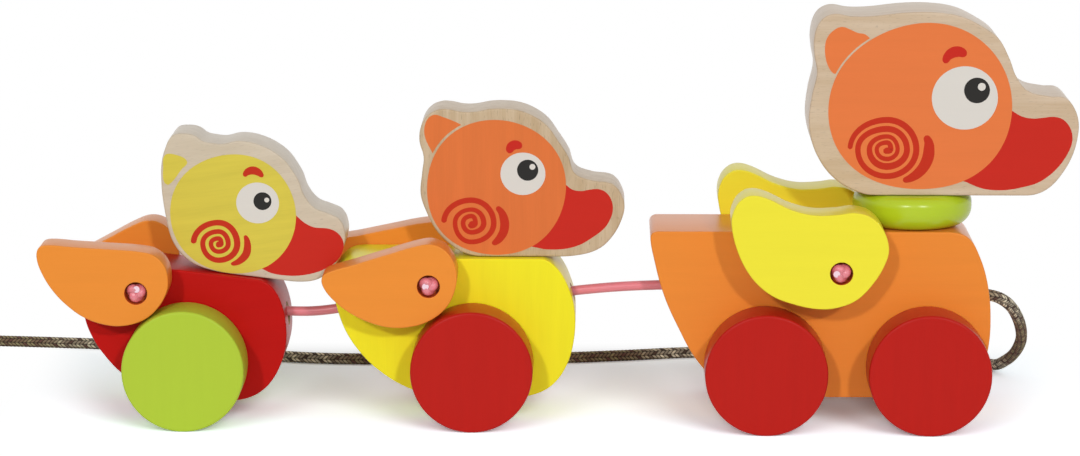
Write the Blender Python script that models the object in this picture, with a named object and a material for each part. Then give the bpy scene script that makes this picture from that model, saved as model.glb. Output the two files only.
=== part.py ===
"""Wooden walk-along duck family: a mother duck on four wheels that tows two ducklings.

Millimetres are used for every length below and turned into metres by mm().
X runs forward (the way the ducks face), Y to their left, Z up from the floor.
Each duck is drawn in its own side view, with X measured from the duck's own
centre and Z from the floor (the ducklings: from their axle), and every board is
that side view extruded across Y.
"""
import math

import bpy
import bmesh
from mathutils import Matrix, Vector
from mathutils.geometry import interpolate_bezier


# Sizes shared by the three ducks.
GAP = 0.3               # room between two pieces that touch
WHEEL_DIAMETER = 50.0
WHEEL_WIDTH = 22.0
WHEEL_EDGE = 1.2        # the broken edge of a wheel's two rims
AXLE_DIAMETER = 6.0
AXLE_HOLE = 7.0         # in the body, where the axle turns
AXLE_DEPTH = 14.0       # how far an axle goes into a wheel
ROD_CHAMFER = 0.6       # at the ends of axles and dowels
SIDE_GAP = 0.7          # between a body and the wings and wheels beside it
CORD_DIAMETER = 4.0     # the pink elastic
CORD_HOLE = 5.2
KNOT_RECESS = 9.3       # the wide outer hole of a wing, which takes the knot
KNOT_RECESS_DEPTH = 6.0
KNOT_RADIUS = 3.9
KNOT_HALF_HEIGHT = 2.9
KNOT_PROUD = 0.2        # how far a knot's tip stands out of the wing
KNOT_NECK = 0.4         # between the recess's floor and the knot
DOWEL_DEPTH = 13.0
CUT_PAST = 5.0          # how far a hole's cutter sticks out of the wood
HOLE_SIDES = 20
SMALL_HOLE_SIDES = 16
ELASTIC_SIDES = 12
WHEEL_SIDES = 36
CURVE_STEPS = 2         # points that a smooth outline gets for each point it is drawn with
PATH_STEPS = 24         # the same for the pull cord's way, before it is read at even steps

# Where the ducks stand, along X.
MOTHER_X = 120.1
DUCKLING_2_X = -33.1
DUCKLING_1_X = -150.8
DUCKLING_1_LEAN = 7.0   # degrees, beak down about its axle

# The mother.
MOTHER_BODY_WIDTH = 43.0
MOTHER_BODY_TOP = 80.5
MOTHER_BODY_BOTTOM = 11.4
MOTHER_HEAD_WIDTH = 35.0
MOTHER_WING_WIDTH = 20.0
WHEELBASE = 66.4
RING_RADIUS = 24.5
RING_HEIGHT = 14.2
RING_EDGE = 6.6
NECK_X = 27.8
NECK_DOWEL = 10.0

# The ducklings, measured from the axle.
DUCKLING_BODY_WIDTH = 34.0
DUCKLING_HEAD_WIDTH = 26.0
DUCKLING_WING_WIDTH = 16.5
HEAD_DOWEL = 8.0

# The link cords between the ducks. Each end sits this deep behind the wood's surface.
LINK_DEPTH = 3.5
LINK_FLARE = 0.72       # how fast the hole widens, so that the cord can swing sideways
LINK_ROOM = 4.0         # how deep the hole goes on behind the cord's pivot

# The pull cord, its coil of two turns and the knot that ends it.
PULL_DIAMETER = 5.0
PULL_HOLE = 6.4
PULL_HOLE_DEPTH = 18.0
PULL_HEIGHT = 0.05      # the cord's underside above the floor
PULL_STEP = 11.0        # between two points of the cord's tube
COIL_MIDDLE_RADIUS = 25.0
COIL_FOOT = 0.1         # the coil's underside above the floor
END_KNOT_RADIUS = 5.1


def mm(*values):
    """Millimetres to metres: one number, or a Vector."""
    scaled = [v * 0.001 for v in values]
    return scaled[0] if len(scaled) == 1 else Vector(scaled)


def clear_file():
    for thing in list(bpy.data.objects):
        bpy.data.objects.remove(thing, do_unlink=True)


def paint(name, colour, roughness):
    """A Principled material from an sRGB colour, given as three numbers from 0 to 255."""
    made = bpy.data.materials.new(name)
    made.use_nodes = True
    shader = made.node_tree.nodes["Principled BSDF"]
    linear = [((c / 255 + 0.055) / 1.055) ** 2.4 if c > 10 else c / 255 / 12.92 for c in colour]
    shader.inputs["Base Color"].default_value = (*linear, 1.0)
    shader.inputs["Roughness"].default_value = roughness
    made.diffuse_color = (*linear, 1.0)
    return made


def smooth_outline(points, lowest=None, highest=None):
    """A closed curve through the points, as (x, z) pairs.

    Each span is a cubic Bezier whose handles follow the line between the points on either side
    (a Catmull-Rom curve), shortened so that no handle is longer than 0.35 of its own span.
    """
    knots = [Vector((x, z, 0.0)) for x, z in points]
    count = len(knots)
    curve = []
    for i, start in enumerate(knots):
        end = knots[(i + 1) % count]
        span = (end - start).length
        leave = (end - knots[i - 1]).normalized() * span * 0.35
        arrive = (knots[(i + 2) % count] - start).normalized() * span * 0.35
        curve += interpolate_bezier(start, start + leave, end - arrive, end, CURVE_STEPS + 1)[:-1]
    low = -math.inf if lowest is None else lowest
    high = math.inf if highest is None else highest
    return [(p.x, min(max(p.y, low), high)) for p in curve]


def turned(points, degrees, about=(0.0, 0.0)):
    """Side-view points turned about one of them; a positive angle lifts the +X side."""
    c, s = math.cos(math.radians(degrees)), math.sin(math.radians(degrees))
    ax, az = about
    return [(ax + (x - ax) * c - (z - az) * s, az + (x - ax) * s + (z - az) * c) for x, z in points]


def new_object(name, mesh_builder, material, frame, origin=(0.0, 0.0, 0.0)):
    """An object of the built mesh, under the duck's empty, with its origin at the given point."""
    mesh = bpy.data.meshes.new(name)
    bmesh.ops.recalc_face_normals(mesh_builder, faces=mesh_builder.faces)
    mesh_builder.to_mesh(mesh)
    mesh_builder.free()
    made = bpy.data.objects.new(name, mesh)
    bpy.context.scene.collection.objects.link(made)
    mesh.materials.append(material)
    made.parent = frame
    made.location = mm(*origin)
    return made


def board(name, outline, middle, width, material, frame, origin):
    """A flat board: the side-view outline extruded across Y about its middle."""
    build = bmesh.new()
    ox, oy, oz = origin
    y = middle - width / 2 - oy
    ring = [build.verts.new(mm(x - ox, y, z - oz)) for x, z in outline]
    side = build.faces.new(ring)
    grown = bmesh.ops.extrude_face_region(build, geom=[side])
    moved = [v for v in grown["geom"] if isinstance(v, bmesh.types.BMVert)]
    bmesh.ops.translate(build, verts=moved, vec=mm(0, width, 0))
    made = new_object(name, build, material, frame, origin)
    made.data.set_sharp_from_angle(angle=math.radians(35))
    return made


def turned_piece(name, profile, sides, axis, material, frame, origin):
    """A lathe piece: profile points (radius, height) spun about Z, then laid along the axis.

    The first and last points lie on the axis or close a ring with a hole.
    """
    build = bmesh.new()
    points = [build.verts.new(mm(r, 0, h)) for r, h in profile]
    ends_on_axis = profile[0][0] == 0 and profile[-1][0] == 0
    edges = [build.edges.new((a, b)) for a, b in zip(points, points[1:])]
    if not ends_on_axis:
        edges.append(build.edges.new((points[-1], points[0])))
    bmesh.ops.spin(build, geom=points + edges, cent=(0, 0, 0), axis=(0, 0, 1), angle=math.tau,
                   steps=sides, use_merge=True)
    bmesh.ops.remove_doubles(build, verts=build.verts, dist=mm(0.001))
    turn = Vector((0, 0, 1)).rotation_difference(Vector(axis)).to_matrix()
    bmesh.ops.transform(build, matrix=turn.to_4x4(), verts=build.verts)
    made = new_object(name, build, material, frame, origin)
    for face in made.data.polygons:
        face.use_smooth = True
    made.data.set_sharp_from_angle(angle=math.radians(35))
    return made


def rod_profile(radius, start, end, chamfer=0.0):
    if not chamfer:
        return [(0, start), (radius, start), (radius, end), (0, end)]
    return [(0, start), (radius - chamfer, start), (radius, start + chamfer),
            (radius, end - chamfer), (radius - chamfer, end), (0, end)]


def arc(centre, radius, start, end, steps):
    """Points of a circular arc in the side view, from one angle to another, in degrees."""
    cx, cz = centre
    angles = [math.radians(start + (end - start) * i / steps) for i in range(steps + 1)]
    return [(cx + radius * math.cos(a), cz + radius * math.sin(a)) for a in angles]


def cut(target, cutter):
    """Take the cutter's shape out of the target."""
    cutter.hide_render = True
    cutter.display_type = "WIRE"
    cutter.name = "cutter_" + cutter.name
    boolean = target.modifiers.new(cutter.name, "BOOLEAN")
    boolean.operation = "DIFFERENCE"
    boolean.solver = "EXACT"
    boolean.object = cutter


def bore(target, name, diameter, start, end, axis, frame, at, sides=HOLE_SIDES):
    """A round hole through or into the target, along the axis through the given point."""
    cut(target, turned_piece(name, rod_profile(diameter / 2, start, end), sides, axis, WOOD, frame, at))


def flared_bore(prefix, label, frame, pivot, forward):
    """The blind hole in a body that holds an end of a link cord.

    It widens from the cord's pivot to the surface, so that the cord can swing sideways.
    """
    reach = LINK_DEPTH + CUT_PAST
    profile = [(0, -LINK_ROOM), (CORD_HOLE / 2, -LINK_ROOM), (CORD_HOLE / 2, 0.0),
               (CORD_HOLE / 2 + LINK_FLARE * reach, reach), (0, reach)]
    at = (pivot[0], 0, pivot[1])
    cutter = turned_piece(f"{prefix}_{label}_hole", profile, HOLE_SIDES, (forward, 0, 0), WOOD, frame, at)
    cut(bpy.data.objects[f"{prefix}_body"], cutter)


def wheel(name, side, axle_at, inner, material, frame):
    """A wheel on the outer end of an axle: a disc with broken rim edges and a blind hole inside."""
    profile = rod_profile(WHEEL_DIAMETER / 2, 0, WHEEL_WIDTH, WHEEL_EDGE)
    x, z = axle_at
    made = turned_piece(name, profile, WHEEL_SIDES, (0, side, 0), material, frame, (x, side * inner, z))
    bore(made, name + "_hole", AXLE_DIAMETER + 2 * GAP, -CUT_PAST, AXLE_DEPTH + GAP, (0, side, 0), frame,
         (x, side * inner, z))


def axle(name, axle_at, inner, frame):
    half = inner + AXLE_DEPTH
    turned_piece(name, rod_profile(AXLE_DIAMETER / 2, -half, half, ROD_CHAMFER), HOLE_SIDES, (0, 1, 0), WOOD,
                 frame, (axle_at[0], 0, axle_at[1]))


def wing(name, shape, pivot, angle, side, inner, width, material, frame):
    """A wing board beside the body, turned about its cord, with the cord's hole and the knot's recess."""
    x, z = pivot
    outline = turned([(x + px, z + pz) for px, pz in shape], angle, pivot)
    middle = side * (inner + width / 2)
    made = board(name, outline, middle, width, material, frame, (x, middle, z))
    at = (x, side * inner, z)
    end = width + CUT_PAST
    bore(made, name + "_hole", CORD_HOLE, -CUT_PAST, end, (0, side, 0), frame, at, SMALL_HOLE_SIDES)
    bore(made, name + "_recess", KNOT_RECESS, width - KNOT_RECESS_DEPTH, end, (0, side, 0), frame, at)


def knot_profile(end, outward):
    """Half of a knot's side view, a flattened ball that ends a cord."""
    middle = end - KNOT_HALF_HEIGHT
    angles = range(75, -76, -30)
    ball = [(KNOT_RADIUS * math.cos(math.radians(a)), middle + KNOT_HALF_HEIGHT * math.sin(math.radians(a)))
            for a in angles]
    return [(r, outward * h) for r, h in ball]


def wing_cord(name, right_pivot, left_pivot, inner, outer, frame):
    """The elastic that carries both wings: it crosses the body and ends in a knot in each wing.

    The two pivots may lie a little apart, and the elastic then slants inside the body.
    """
    tip = outer + KNOT_PROUD
    radius = CORD_DIAMETER / 2
    neck = outer - KNOT_RECESS_DEPTH + KNOT_NECK
    profile = [(0, tip)] + knot_profile(tip, 1)
    profile += [(radius, neck), (radius, inner), (radius, -inner), (radius, -neck)]
    profile += [(r, h) for r, h in reversed(knot_profile(tip, -1))] + [(0, -tip)]
    at = (right_pivot[0], 0, right_pivot[1])
    made = turned_piece(name, profile, ELASTIC_SIDES, (0, 1, 0), ELASTIC, frame, at)
    dx, dz = left_pivot[0] - right_pivot[0], left_pivot[1] - right_pivot[1]
    for vertex in made.data.vertices:
        if vertex.co.y > 0:
            vertex.co += mm(dx, 0, dz)


def wing_pair(prefix, shape, right, left, inner, width, material, frame):
    """Both wings of a duck, each given as its pivot and its turn in degrees, and what carries them."""
    pivots = []
    for side_name, side, (pivot, angle) in (("right", -1, right), ("left", 1, left)):
        wing(f"{prefix}_wing_{side_name}", shape, pivot, angle, side, inner, width, material, frame)
        pivots.append(Vector(pivot))
    apart = (pivots[1] - pivots[0]).length
    middle = (pivots[0] + pivots[1]) / 2
    reach = inner + CUT_PAST
    bore(bpy.data.objects[f"{prefix}_body"], f"{prefix}_wing_cord_hole", CORD_HOLE + apart, -reach, reach,
         (0, 1, 0), frame, (middle.x, 0, middle.y), SMALL_HOLE_SIDES)
    wing_cord(f"{prefix}_wing_cord", pivots[0], pivots[1], inner - SIDE_GAP, inner + width, frame)


# The four paints, the bare wood and the cords.
clear_file()
WOOD = paint("bare_wood", (214, 196, 160), 0.65)
ORANGE = paint("orange_paint", (232, 129, 47), 0.5)
YELLOW = paint("yellow_paint", (238, 224, 48), 0.5)
RED = paint("red_paint", (184, 32, 26), 0.45)
GREEN = paint("green_paint", (172, 198, 56), 0.4)
ELASTIC = paint("pink_elastic", (212, 112, 138), 0.35)
BRAID = paint("braided_cord", (130, 115, 90), 0.85)


def empty(name):
    made = bpy.data.objects.new(name, None)
    bpy.context.scene.collection.objects.link(made)
    return made


def duck_frame(name, x, z=0.0, lean=0.0, chest=None):
    """An empty at a duck's own centre, which all its pieces hang under.

    A duckling's empty hangs under a second one, on the upright axis through the end of the link
    cord in its chest, which the duckling swings about.
    """
    place = Matrix.Translation(mm(x, 0, z)) @ Matrix.Rotation(math.radians(lean), 4, "Y")
    made = empty(name + "_frame")
    made.matrix_world = place
    if chest:
        swing = empty(name + "_swing")
        swing.location = place @ mm(chest[0], 0, chest[1])
        made.parent = swing
        made.matrix_basis = Matrix.Translation(-swing.location) @ place
        bpy.context.view_layer.update()
    return made


# The mother duck.
mother = duck_frame("mother", MOTHER_X)
axle_height = WHEEL_DIAMETER / 2
MOTHER_BODY = [
    (-77.5, 80.5), (-70.0, 80.5), (-40.0, 80.5), (0.0, 80.5), (30.0, 80.5), (43.0, 80.4), (49.8, 77.9),
    (54.2, 70.5), (57.5, 60.0), (59.1, 47.0), (58.4, 32.0), (54.5, 20.0), (47.0, 13.0), (40.0, 11.4),
    (20.0, 11.4), (-20.0, 11.4), (-42.0, 11.4), (-51.0, 15.5), (-58.3, 23.2), (-63.6, 30.5),
    (-68.4, 39.7), (-73.0, 49.5), (-76.2, 58.5), (-78.6, 68.0), (-80.3, 76.5), (-79.8, 79.4),
]
body = board("mother_body", smooth_outline(MOTHER_BODY, MOTHER_BODY_BOTTOM, MOTHER_BODY_TOP), 0,
             MOTHER_BODY_WIDTH, ORANGE, mother, (0, 0, axle_height))
side_y = MOTHER_BODY_WIDTH / 2 + SIDE_GAP
for end, x in (("front", WHEELBASE / 2), ("rear", -WHEELBASE / 2)):
    at = (x, axle_height)
    reach = side_y + CUT_PAST
    bore(body, f"mother_{end}_axle_hole", AXLE_HOLE, -reach, reach, (0, 1, 0), mother, (x, 0, axle_height))
    axle(f"mother_{end}_axle", at, side_y, mother)
    wheel(f"mother_{end}_wheel_left", 1, at, side_y, RED, mother)
    wheel(f"mother_{end}_wheel_right", -1, at, side_y, RED, mother)

# A bean-shaped wing, drawn from its pivot: the tail points back and up, the round end forward.
MOTHER_WING = [
    (-44.6, 20.0), (-43.2, 27.0), (-39.3, 31.1), (-34.9, 31.9), (-29.5, 30.4), (-20.7, 26.2), (-11.4, 23.9),
    (-2.2, 24.1), (5.0, 24.9), (11.5, 23.2), (16.6, 18.0), (19.0, 10.4), (17.6, 4.0), (13.1, -3.8),
    (6.4, -11.0), (-1.7, -14.7), (-9.7, -15.2), (-19.5, -12.9), (-28.4, -9.0), (-36.0, -2.2), (-41.7, 8.0),
]
wing_pair("mother", smooth_outline(MOTHER_WING), ((-3.3, 66.9), 0.0), ((-7.0, 67.1), 0.0), side_y,
          MOTHER_WING_WIDTH, YELLOW, mother)

# The green neck ring, a turned disc with a full round edge, on the dowel that joins head and body.
ring_base = MOTHER_BODY_TOP + GAP / 2
inner_radius = NECK_DOWEL / 2 + GAP
profile = [(inner_radius, 0), (RING_RADIUS - RING_EDGE, 0)]
profile += arc((RING_RADIUS - RING_EDGE, RING_EDGE), RING_EDGE, -70, 0, 4)
profile += arc((RING_RADIUS - RING_EDGE, RING_HEIGHT - RING_EDGE), RING_EDGE, 0, 70, 4)
profile += [(RING_RADIUS - RING_EDGE, RING_HEIGHT), (inner_radius, RING_HEIGHT)]
turned_piece("mother_neck_ring", profile, WHEEL_SIDES, (0, 0, 1), GREEN, mother, (NECK_X, 0, ring_base))
head_base = ring_base + RING_HEIGHT + GAP / 2
dowel_low = MOTHER_BODY_TOP - DOWEL_DEPTH
dowel_high = head_base + DOWEL_DEPTH
turned_piece("mother_neck_dowel", rod_profile(NECK_DOWEL / 2, dowel_low, dowel_high, ROD_CHAMFER), HOLE_SIDES,
             (0, 0, 1), WOOD, mother, (NECK_X, 0, 0))
bore(body, "mother_neck_hole", NECK_DOWEL + 2 * GAP, dowel_low - GAP, MOTHER_BODY_TOP + CUT_PAST, (0, 0, 1),
     mother, (NECK_X, 0, 0))
MOTHER_HEAD = [
    (-16.0, 126.0), (-14.9, 135.8), (-12.9, 145.3), (-14.0, 152.5), (-14.3, 158.5), (-13.1, 164.1),
    (-10.4, 167.9), (-5.8, 169.6), (0.8, 168.6), (9.5, 168.7), (22.4, 170.1), (34.2, 170.3),
    (45.0, 168.7), (53.6, 164.7), (60.7, 159.5), (65.3, 151.2), (68.0, 144.3), (72.9, 138.2),
    (82.1, 135.9), (87.9, 135.4), (91.6, 131.8), (93.8, 125.6), (93.0, 117.6), (89.7, 109.8),
    (85.2, 101.7), (78.8, 96.8), (71.0, 95.3), (60.0, 95.0), (28.4, 95.0), (14.0, 95.0), (6.5, 95.6),
    (-1.8, 99.3), (-7.9, 104.5), (-12.6, 111.7), (-15.1, 118.7),
]
head = board("mother_head", smooth_outline(MOTHER_HEAD, head_base), 0, MOTHER_HEAD_WIDTH, WOOD, mother,
             (NECK_X, 0, head_base))
bore(head, "mother_head_hole", NECK_DOWEL + 2 * GAP, head_base - CUT_PAST, dowel_high + GAP, (0, 0, 1),
     mother, (NECK_X, 0, 0))

# The pull cord leaves the chest; the first link cord leaves the tail.
CHEST_EXIT = (59.0, 50.4)
bore(body, "mother_chest_hole", PULL_HOLE, -PULL_HOLE_DEPTH, CUT_PAST, (1, 0, 0), mother,
     (CHEST_EXIT[0], 0, CHEST_EXIT[1]))
TAIL_PIVOT = (-71.6, 54.4)
flared_bore("mother", "tail", mother, TAIL_PIVOT, -1)


def duckling(prefix, frame, body_shape, body_paint, top, head_shape, dowel_x, right_wing, left_wing,
             wheel_paint):
    """One duckling on a single axle, drawn from the axle's centre."""
    inner = DUCKLING_BODY_WIDTH / 2 + SIDE_GAP
    made = board(f"{prefix}_body", smooth_outline(body_shape, None, top), 0, DUCKLING_BODY_WIDTH, body_paint,
                 frame, (0, 0, 0))
    reach = inner + CUT_PAST
    bore(made, f"{prefix}_axle_hole", AXLE_HOLE, -reach, reach, (0, 1, 0), frame, (0, 0, 0))
    axle(f"{prefix}_axle", (0, 0), inner, frame)
    wheel(f"{prefix}_wheel_left", 1, (0, 0), inner, wheel_paint, frame)
    wheel(f"{prefix}_wheel_right", -1, (0, 0), inner, wheel_paint, frame)
    wing_pair(prefix, smooth_outline(DUCKLING_WING), right_wing, left_wing, inner, DUCKLING_WING_WIDTH,
              ORANGE, frame)
    low = top + GAP
    head_board = board(f"{prefix}_head", smooth_outline(head_shape, low), 0, DUCKLING_HEAD_WIDTH, WOOD,
                       frame, (dowel_x, 0, low))
    for target, label in ((made, "neck"), (head_board, "head")):
        bore(target, f"{prefix}_{label}_hole", HEAD_DOWEL + 2 * GAP, top - DOWEL_DEPTH - GAP,
             low + DOWEL_DEPTH + GAP, (0, 0, 1), frame, (dowel_x, 0, 0), SMALL_HOLE_SIDES)
    dowel = rod_profile(HEAD_DOWEL / 2, top - DOWEL_DEPTH, low + DOWEL_DEPTH, ROD_CHAMFER)
    turned_piece(f"{prefix}_head_dowel", dowel, SMALL_HOLE_SIDES, (0, 0, 1), WOOD, frame, (dowel_x, 0, 0))


# A duckling's wing, drawn from its pivot with its top edge level.
DUCKLING_WING = [
    (-40.9, 12.6), (-40.2, 16.6), (-37.0, 17.9), (-26.0, 17.6), (-12.0, 17.8), (0.5, 17.9), (6.8, 16.6),
    (11.3, 12.2), (13.0, 6.2), (12.4, 0.5), (9.0, -5.9), (3.7, -10.8), (-3.6, -13.6), (-11.2, -13.9),
    (-20.0, -11.6), (-27.2, -7.3), (-33.8, -1.0), (-38.6, 6.2),
]

# Duckling 2, yellow, in the middle.
CHEST_2 = (38.0, 26.4)
TAIL_2 = (-53.2, 19.6)
second = duck_frame("duckling_2", DUCKLING_2_X, axle_height, 0.0, CHEST_2)
DUCKLING_2_BODY = [
    (-46.0, 43.1), (-30.0, 43.1), (0.0, 43.1), (20.0, 43.1), (29.0, 43.1), (35.6, 38.2), (40.4, 28.5),
    (42.1, 19.8), (41.7, 9.7), (39.2, -0.2), (34.0, -8.6), (26.5, -13.4), (14.0, -15.5), (-2.0, -16.0),
    (-16.0, -14.6), (-28.5, -10.4), (-39.0, -3.7), (-46.3, 3.5), (-52.2, 12.3), (-55.8, 22.0), (-57.2, 30.0),
    (-56.0, 37.4), (-52.0, 41.8),
]
DUCKLING_2_HEAD = [
    (-21.4, 69.5), (-20.7, 78.6), (-19.8, 84.7), (-21.4, 92.0), (-20.3, 97.7), (-17.6, 102.4),
    (-13.6, 104.4), (-9.4, 104.4), (-4.0, 103.4), (1.0, 103.5), (7.0, 104.6), (12.4, 104.8),
    (18.8, 104.1), (24.7, 101.9), (30.5, 97.8), (34.8, 91.9), (39.2, 85.0), (41.9, 78.1), (48.7, 75.2),
    (55.0, 74.4), (57.9, 73.3), (60.5, 70.2), (62.3, 64.5), (60.6, 57.6), (57.0, 51.4), (52.2, 46.9),
    (45.6, 44.4), (35.4, 43.3), (14.4, 43.3), (4.0, 43.3), (-3.0, 44.6), (-9.0, 48.1), (-14.8, 53.9),
    (-19.0, 61.8),
]
duckling("duckling_2", second, DUCKLING_2_BODY, YELLOW, 43.1, DUCKLING_2_HEAD, 16.0,
         ((-17.5, 34.6), 18.4), ((-19.1, 34.8), 13.0), RED)

# Duckling 1, red, at the back; it leans beak-down on its axle.
CHEST_1 = (34.4, 22.5)
first = duck_frame("duckling_1", DUCKLING_1_X, axle_height, DUCKLING_1_LEAN, CHEST_1)
DUCKLING_1_BODY = [
    (-37.0, 37.4), (-25.0, 37.4), (0.0, 37.4), (18.0, 37.4), (26.0, 37.4), (31.8, 34.4), (36.4, 27.2),
    (39.0, 17.6), (39.2, 8.3), (36.6, -1.6), (31.6, -9.0), (24.2, -13.4), (12.0, -15.6), (-3.0, -15.8),
    (-15.0, -13.6), (-26.0, -9.0), (-35.4, -1.0), (-41.0, 6.2), (-44.4, 13.4), (-46.4, 22.0), (-46.8, 29.0),
    (-44.0, 35.0),
]
DUCKLING_1_HEAD = [
    (-18.1, 66.5), (-19.2, 72.5), (-19.9, 78.9), (-19.3, 85.5), (-16.8, 91.9), (-11.7, 93.5),
    (-7.6, 93.1), (-4.2, 91.3), (-0.5, 90.9), (4.0, 91.1), (9.4, 93.0), (14.5, 93.3), (19.3, 92.6),
    (24.7, 90.8), (30.1, 87.6), (34.0, 83.5), (37.0, 79.4), (39.8, 74.0), (44.4, 69.5), (49.7, 68.0),
    (53.7, 66.9), (55.3, 65.9), (57.3, 63.2), (58.6, 58.1), (57.3, 51.0), (54.0, 44.4), (49.0, 39.8),
    (41.5, 37.9), (29.7, 37.7), (13.0, 37.7), (4.8, 38.3), (-2.1, 40.0), (-7.9, 43.6), (-12.5, 49.3),
    (-15.7, 57.9),
]
duckling("duckling_1", first, DUCKLING_1_BODY, RED, 37.4, DUCKLING_1_HEAD, 14.0,
         ((-22.8, 28.9), 4.7), ((-21.5, 33.0), 36.6), GREEN)


def world(frame, x, z):
    """A side-view point of a duck, in the whole toy's millimetres."""
    return frame.matrix_world @ mm(x, 0, z) * 1000


def link_cord(name, start, end):
    """A short elastic cord between two holes, with round ends where it swings."""
    path = end - start
    radius = CORD_DIAMETER / 2
    dome = [(radius * math.cos(math.radians(a)), radius * math.sin(math.radians(a))) for a in (60, 30, 0)]
    profile = [(0, -radius)] + [(r, -h) for r, h in dome]
    profile += [(r, path.length + h) for r, h in reversed(dome)] + [(0, path.length + radius)]
    turned_piece(name, profile, SMALL_HOLE_SIDES, path.normalized(), ELASTIC, None, start)


# The two links. Each runs from a hole in one duck's tail to a hole in the next one's chest.
flared_bore("duckling_2", "chest", second, CHEST_2, 1)
flared_bore("duckling_2", "tail", second, TAIL_2, -1)
flared_bore("duckling_1", "chest", first, CHEST_1, 1)
link_cord("front_link_cord", world(mother, *TAIL_PIVOT), world(second, *CHEST_2))
link_cord("rear_link_cord", world(second, *TAIL_2), world(first, *CHEST_1))

# The pull cord's way, in the toy's own frame: out of the chest, down in a loop behind the toy,
# then back along the floor past the ducklings. LIE is its middle's height where it lies.
LIE = PULL_DIAMETER / 2 + PULL_HEIGHT
PULL_ROUTE = [
    (169.2, 0.0, 50.4), (174.2, 0.0, 50.4), (180.8, 0.6, 50.2), (185.6, 4.0, 48.2), (190.5, 12.0, 43.6),
    (194.5, 23.0, 37.0), (197.3, 34.0, 30.0), (198.7, 44.0, 23.4), (198.4, 53.0, 17.6), (197.0, 63.0, 12.0),
    (194.7, 73.0, 7.4), (192.1, 82.0, 3.9), (188.6, 90.0, LIE), (181.7, 98.5, LIE), (167.2, 106.0, LIE),
    (132.2, 112.0, LIE), (97.2, 114.0, LIE), (59.2, 112.8, LIE), (30.2, 106.0, LIE), (3.8, 100.8, LIE),
    (-42.8, 97.0, LIE), (-94.8, 97.0, LIE), (-117.6, 100.9, LIE), (-153.8, 113.0, LIE), (-177.8, 121.0, LIE),
    (-205.8, 127.8, LIE), (-229.8, 131.4, LIE), (-251.0, 134.0, LIE), (-265.8, 135.5, LIE),
]


def smooth_path(points, spacing):
    """A smooth curve through the points, read at about equal distances along it."""
    knots = [Vector(p) for p in points]
    count = len(knots)
    dense = []
    for i in range(count - 1):
        before = knots[max(i - 1, 0)]
        after = knots[min(i + 2, count - 1)]
        span = (knots[i + 1] - knots[i]).length
        leave = (knots[i + 1] - before).normalized() * span / 3
        arrive = (after - knots[i]).normalized() * span / 3
        dense += interpolate_bezier(knots[i], knots[i] + leave, knots[i + 1] - arrive, knots[i + 1],
                                    PATH_STEPS + 1)[:-1]
    dense.append(knots[-1])
    run = [0.0]
    for a, b in zip(dense, dense[1:]):
        run.append(run[-1] + (b - a).length)
    steps = round(run[-1] / spacing)
    read, k = [], 0
    for i in range(steps + 1):
        target = run[-1] * i / steps
        while k < len(run) - 2 and run[k + 1] < target:
            k += 1
        share = (target - run[k]) / (run[k + 1] - run[k])
        read.append(dense[k].lerp(dense[k + 1], min(share, 1.0)))
    return read


def tube(name, points, diameter, material):
    data = bpy.data.curves.new(name, "CURVE")
    data.dimensions = "3D"
    data.bevel_depth = mm(diameter / 2)
    data.bevel_resolution = 2
    data.use_fill_caps = True
    spline = data.splines.new("POLY")
    spline.points.add(len(points) - 1)
    for slot, p in zip(spline.points, points):
        slot.co = (*mm(*p), 1.0)
    made = bpy.data.objects.new(name, data)
    bpy.context.scene.collection.objects.link(made)
    data.materials.append(material)


tube("pull_cord", smooth_path(PULL_ROUTE, PULL_STEP), PULL_DIAMETER, BRAID)

# What the cord has left lies in a neat coil of two turns, one on the other, at the cord's end.
# The knot that ends the cord lies inside the coil, against its turns.
tube_end = PULL_ROUTE[-1]
thick = PULL_DIAMETER / 2
outer, inner = COIL_MIDDLE_RADIUS + thick, COIL_MIDDLE_RADIUS - thick
away = math.sqrt(outer ** 2 - inner ** 2) + GAP
coil_centre = (tube_end[0] - away, tube_end[1] - COIL_MIDDLE_RADIUS, 0)
low, high = COIL_FOOT, 2 * PULL_DIAMETER + COIL_FOOT
coil_profile = [(inner, low), (outer, low), (outer, high), (inner, high)]
turned_piece("pull_cord_coil", coil_profile, WHEEL_SIDES, (0, 0, 1), BRAID, None, coil_centre)
knot_reach = inner - GAP - END_KNOT_RADIUS
knot_at = (coil_centre[0], coil_centre[1] - knot_reach, END_KNOT_RADIUS + COIL_FOOT)
ball = [(END_KNOT_RADIUS * math.cos(math.radians(a)), END_KNOT_RADIUS * math.sin(math.radians(a)))
        for a in range(-60, 61, 30)]
turned_piece("pull_cord_knot", [(0, -END_KNOT_RADIUS)] + ball + [(0, END_KNOT_RADIUS)], SMALL_HOLE_SIDES,
             (0, 1, 0), BRAID, None, knot_at)
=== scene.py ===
# %% [markdown]
# # A wooden duck family to pull along
# The toy is three ducks sawn from thick boards: a mother on four wheels and two ducklings on one
# axle each, tied in a row with short pink elastics, and a braided cord to pull them by. The CAD
# model gives the sizes. This file gives the finish: softened edges, satin paint, printed faces,
# bare wood, shiny rubber and a braid.

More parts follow.
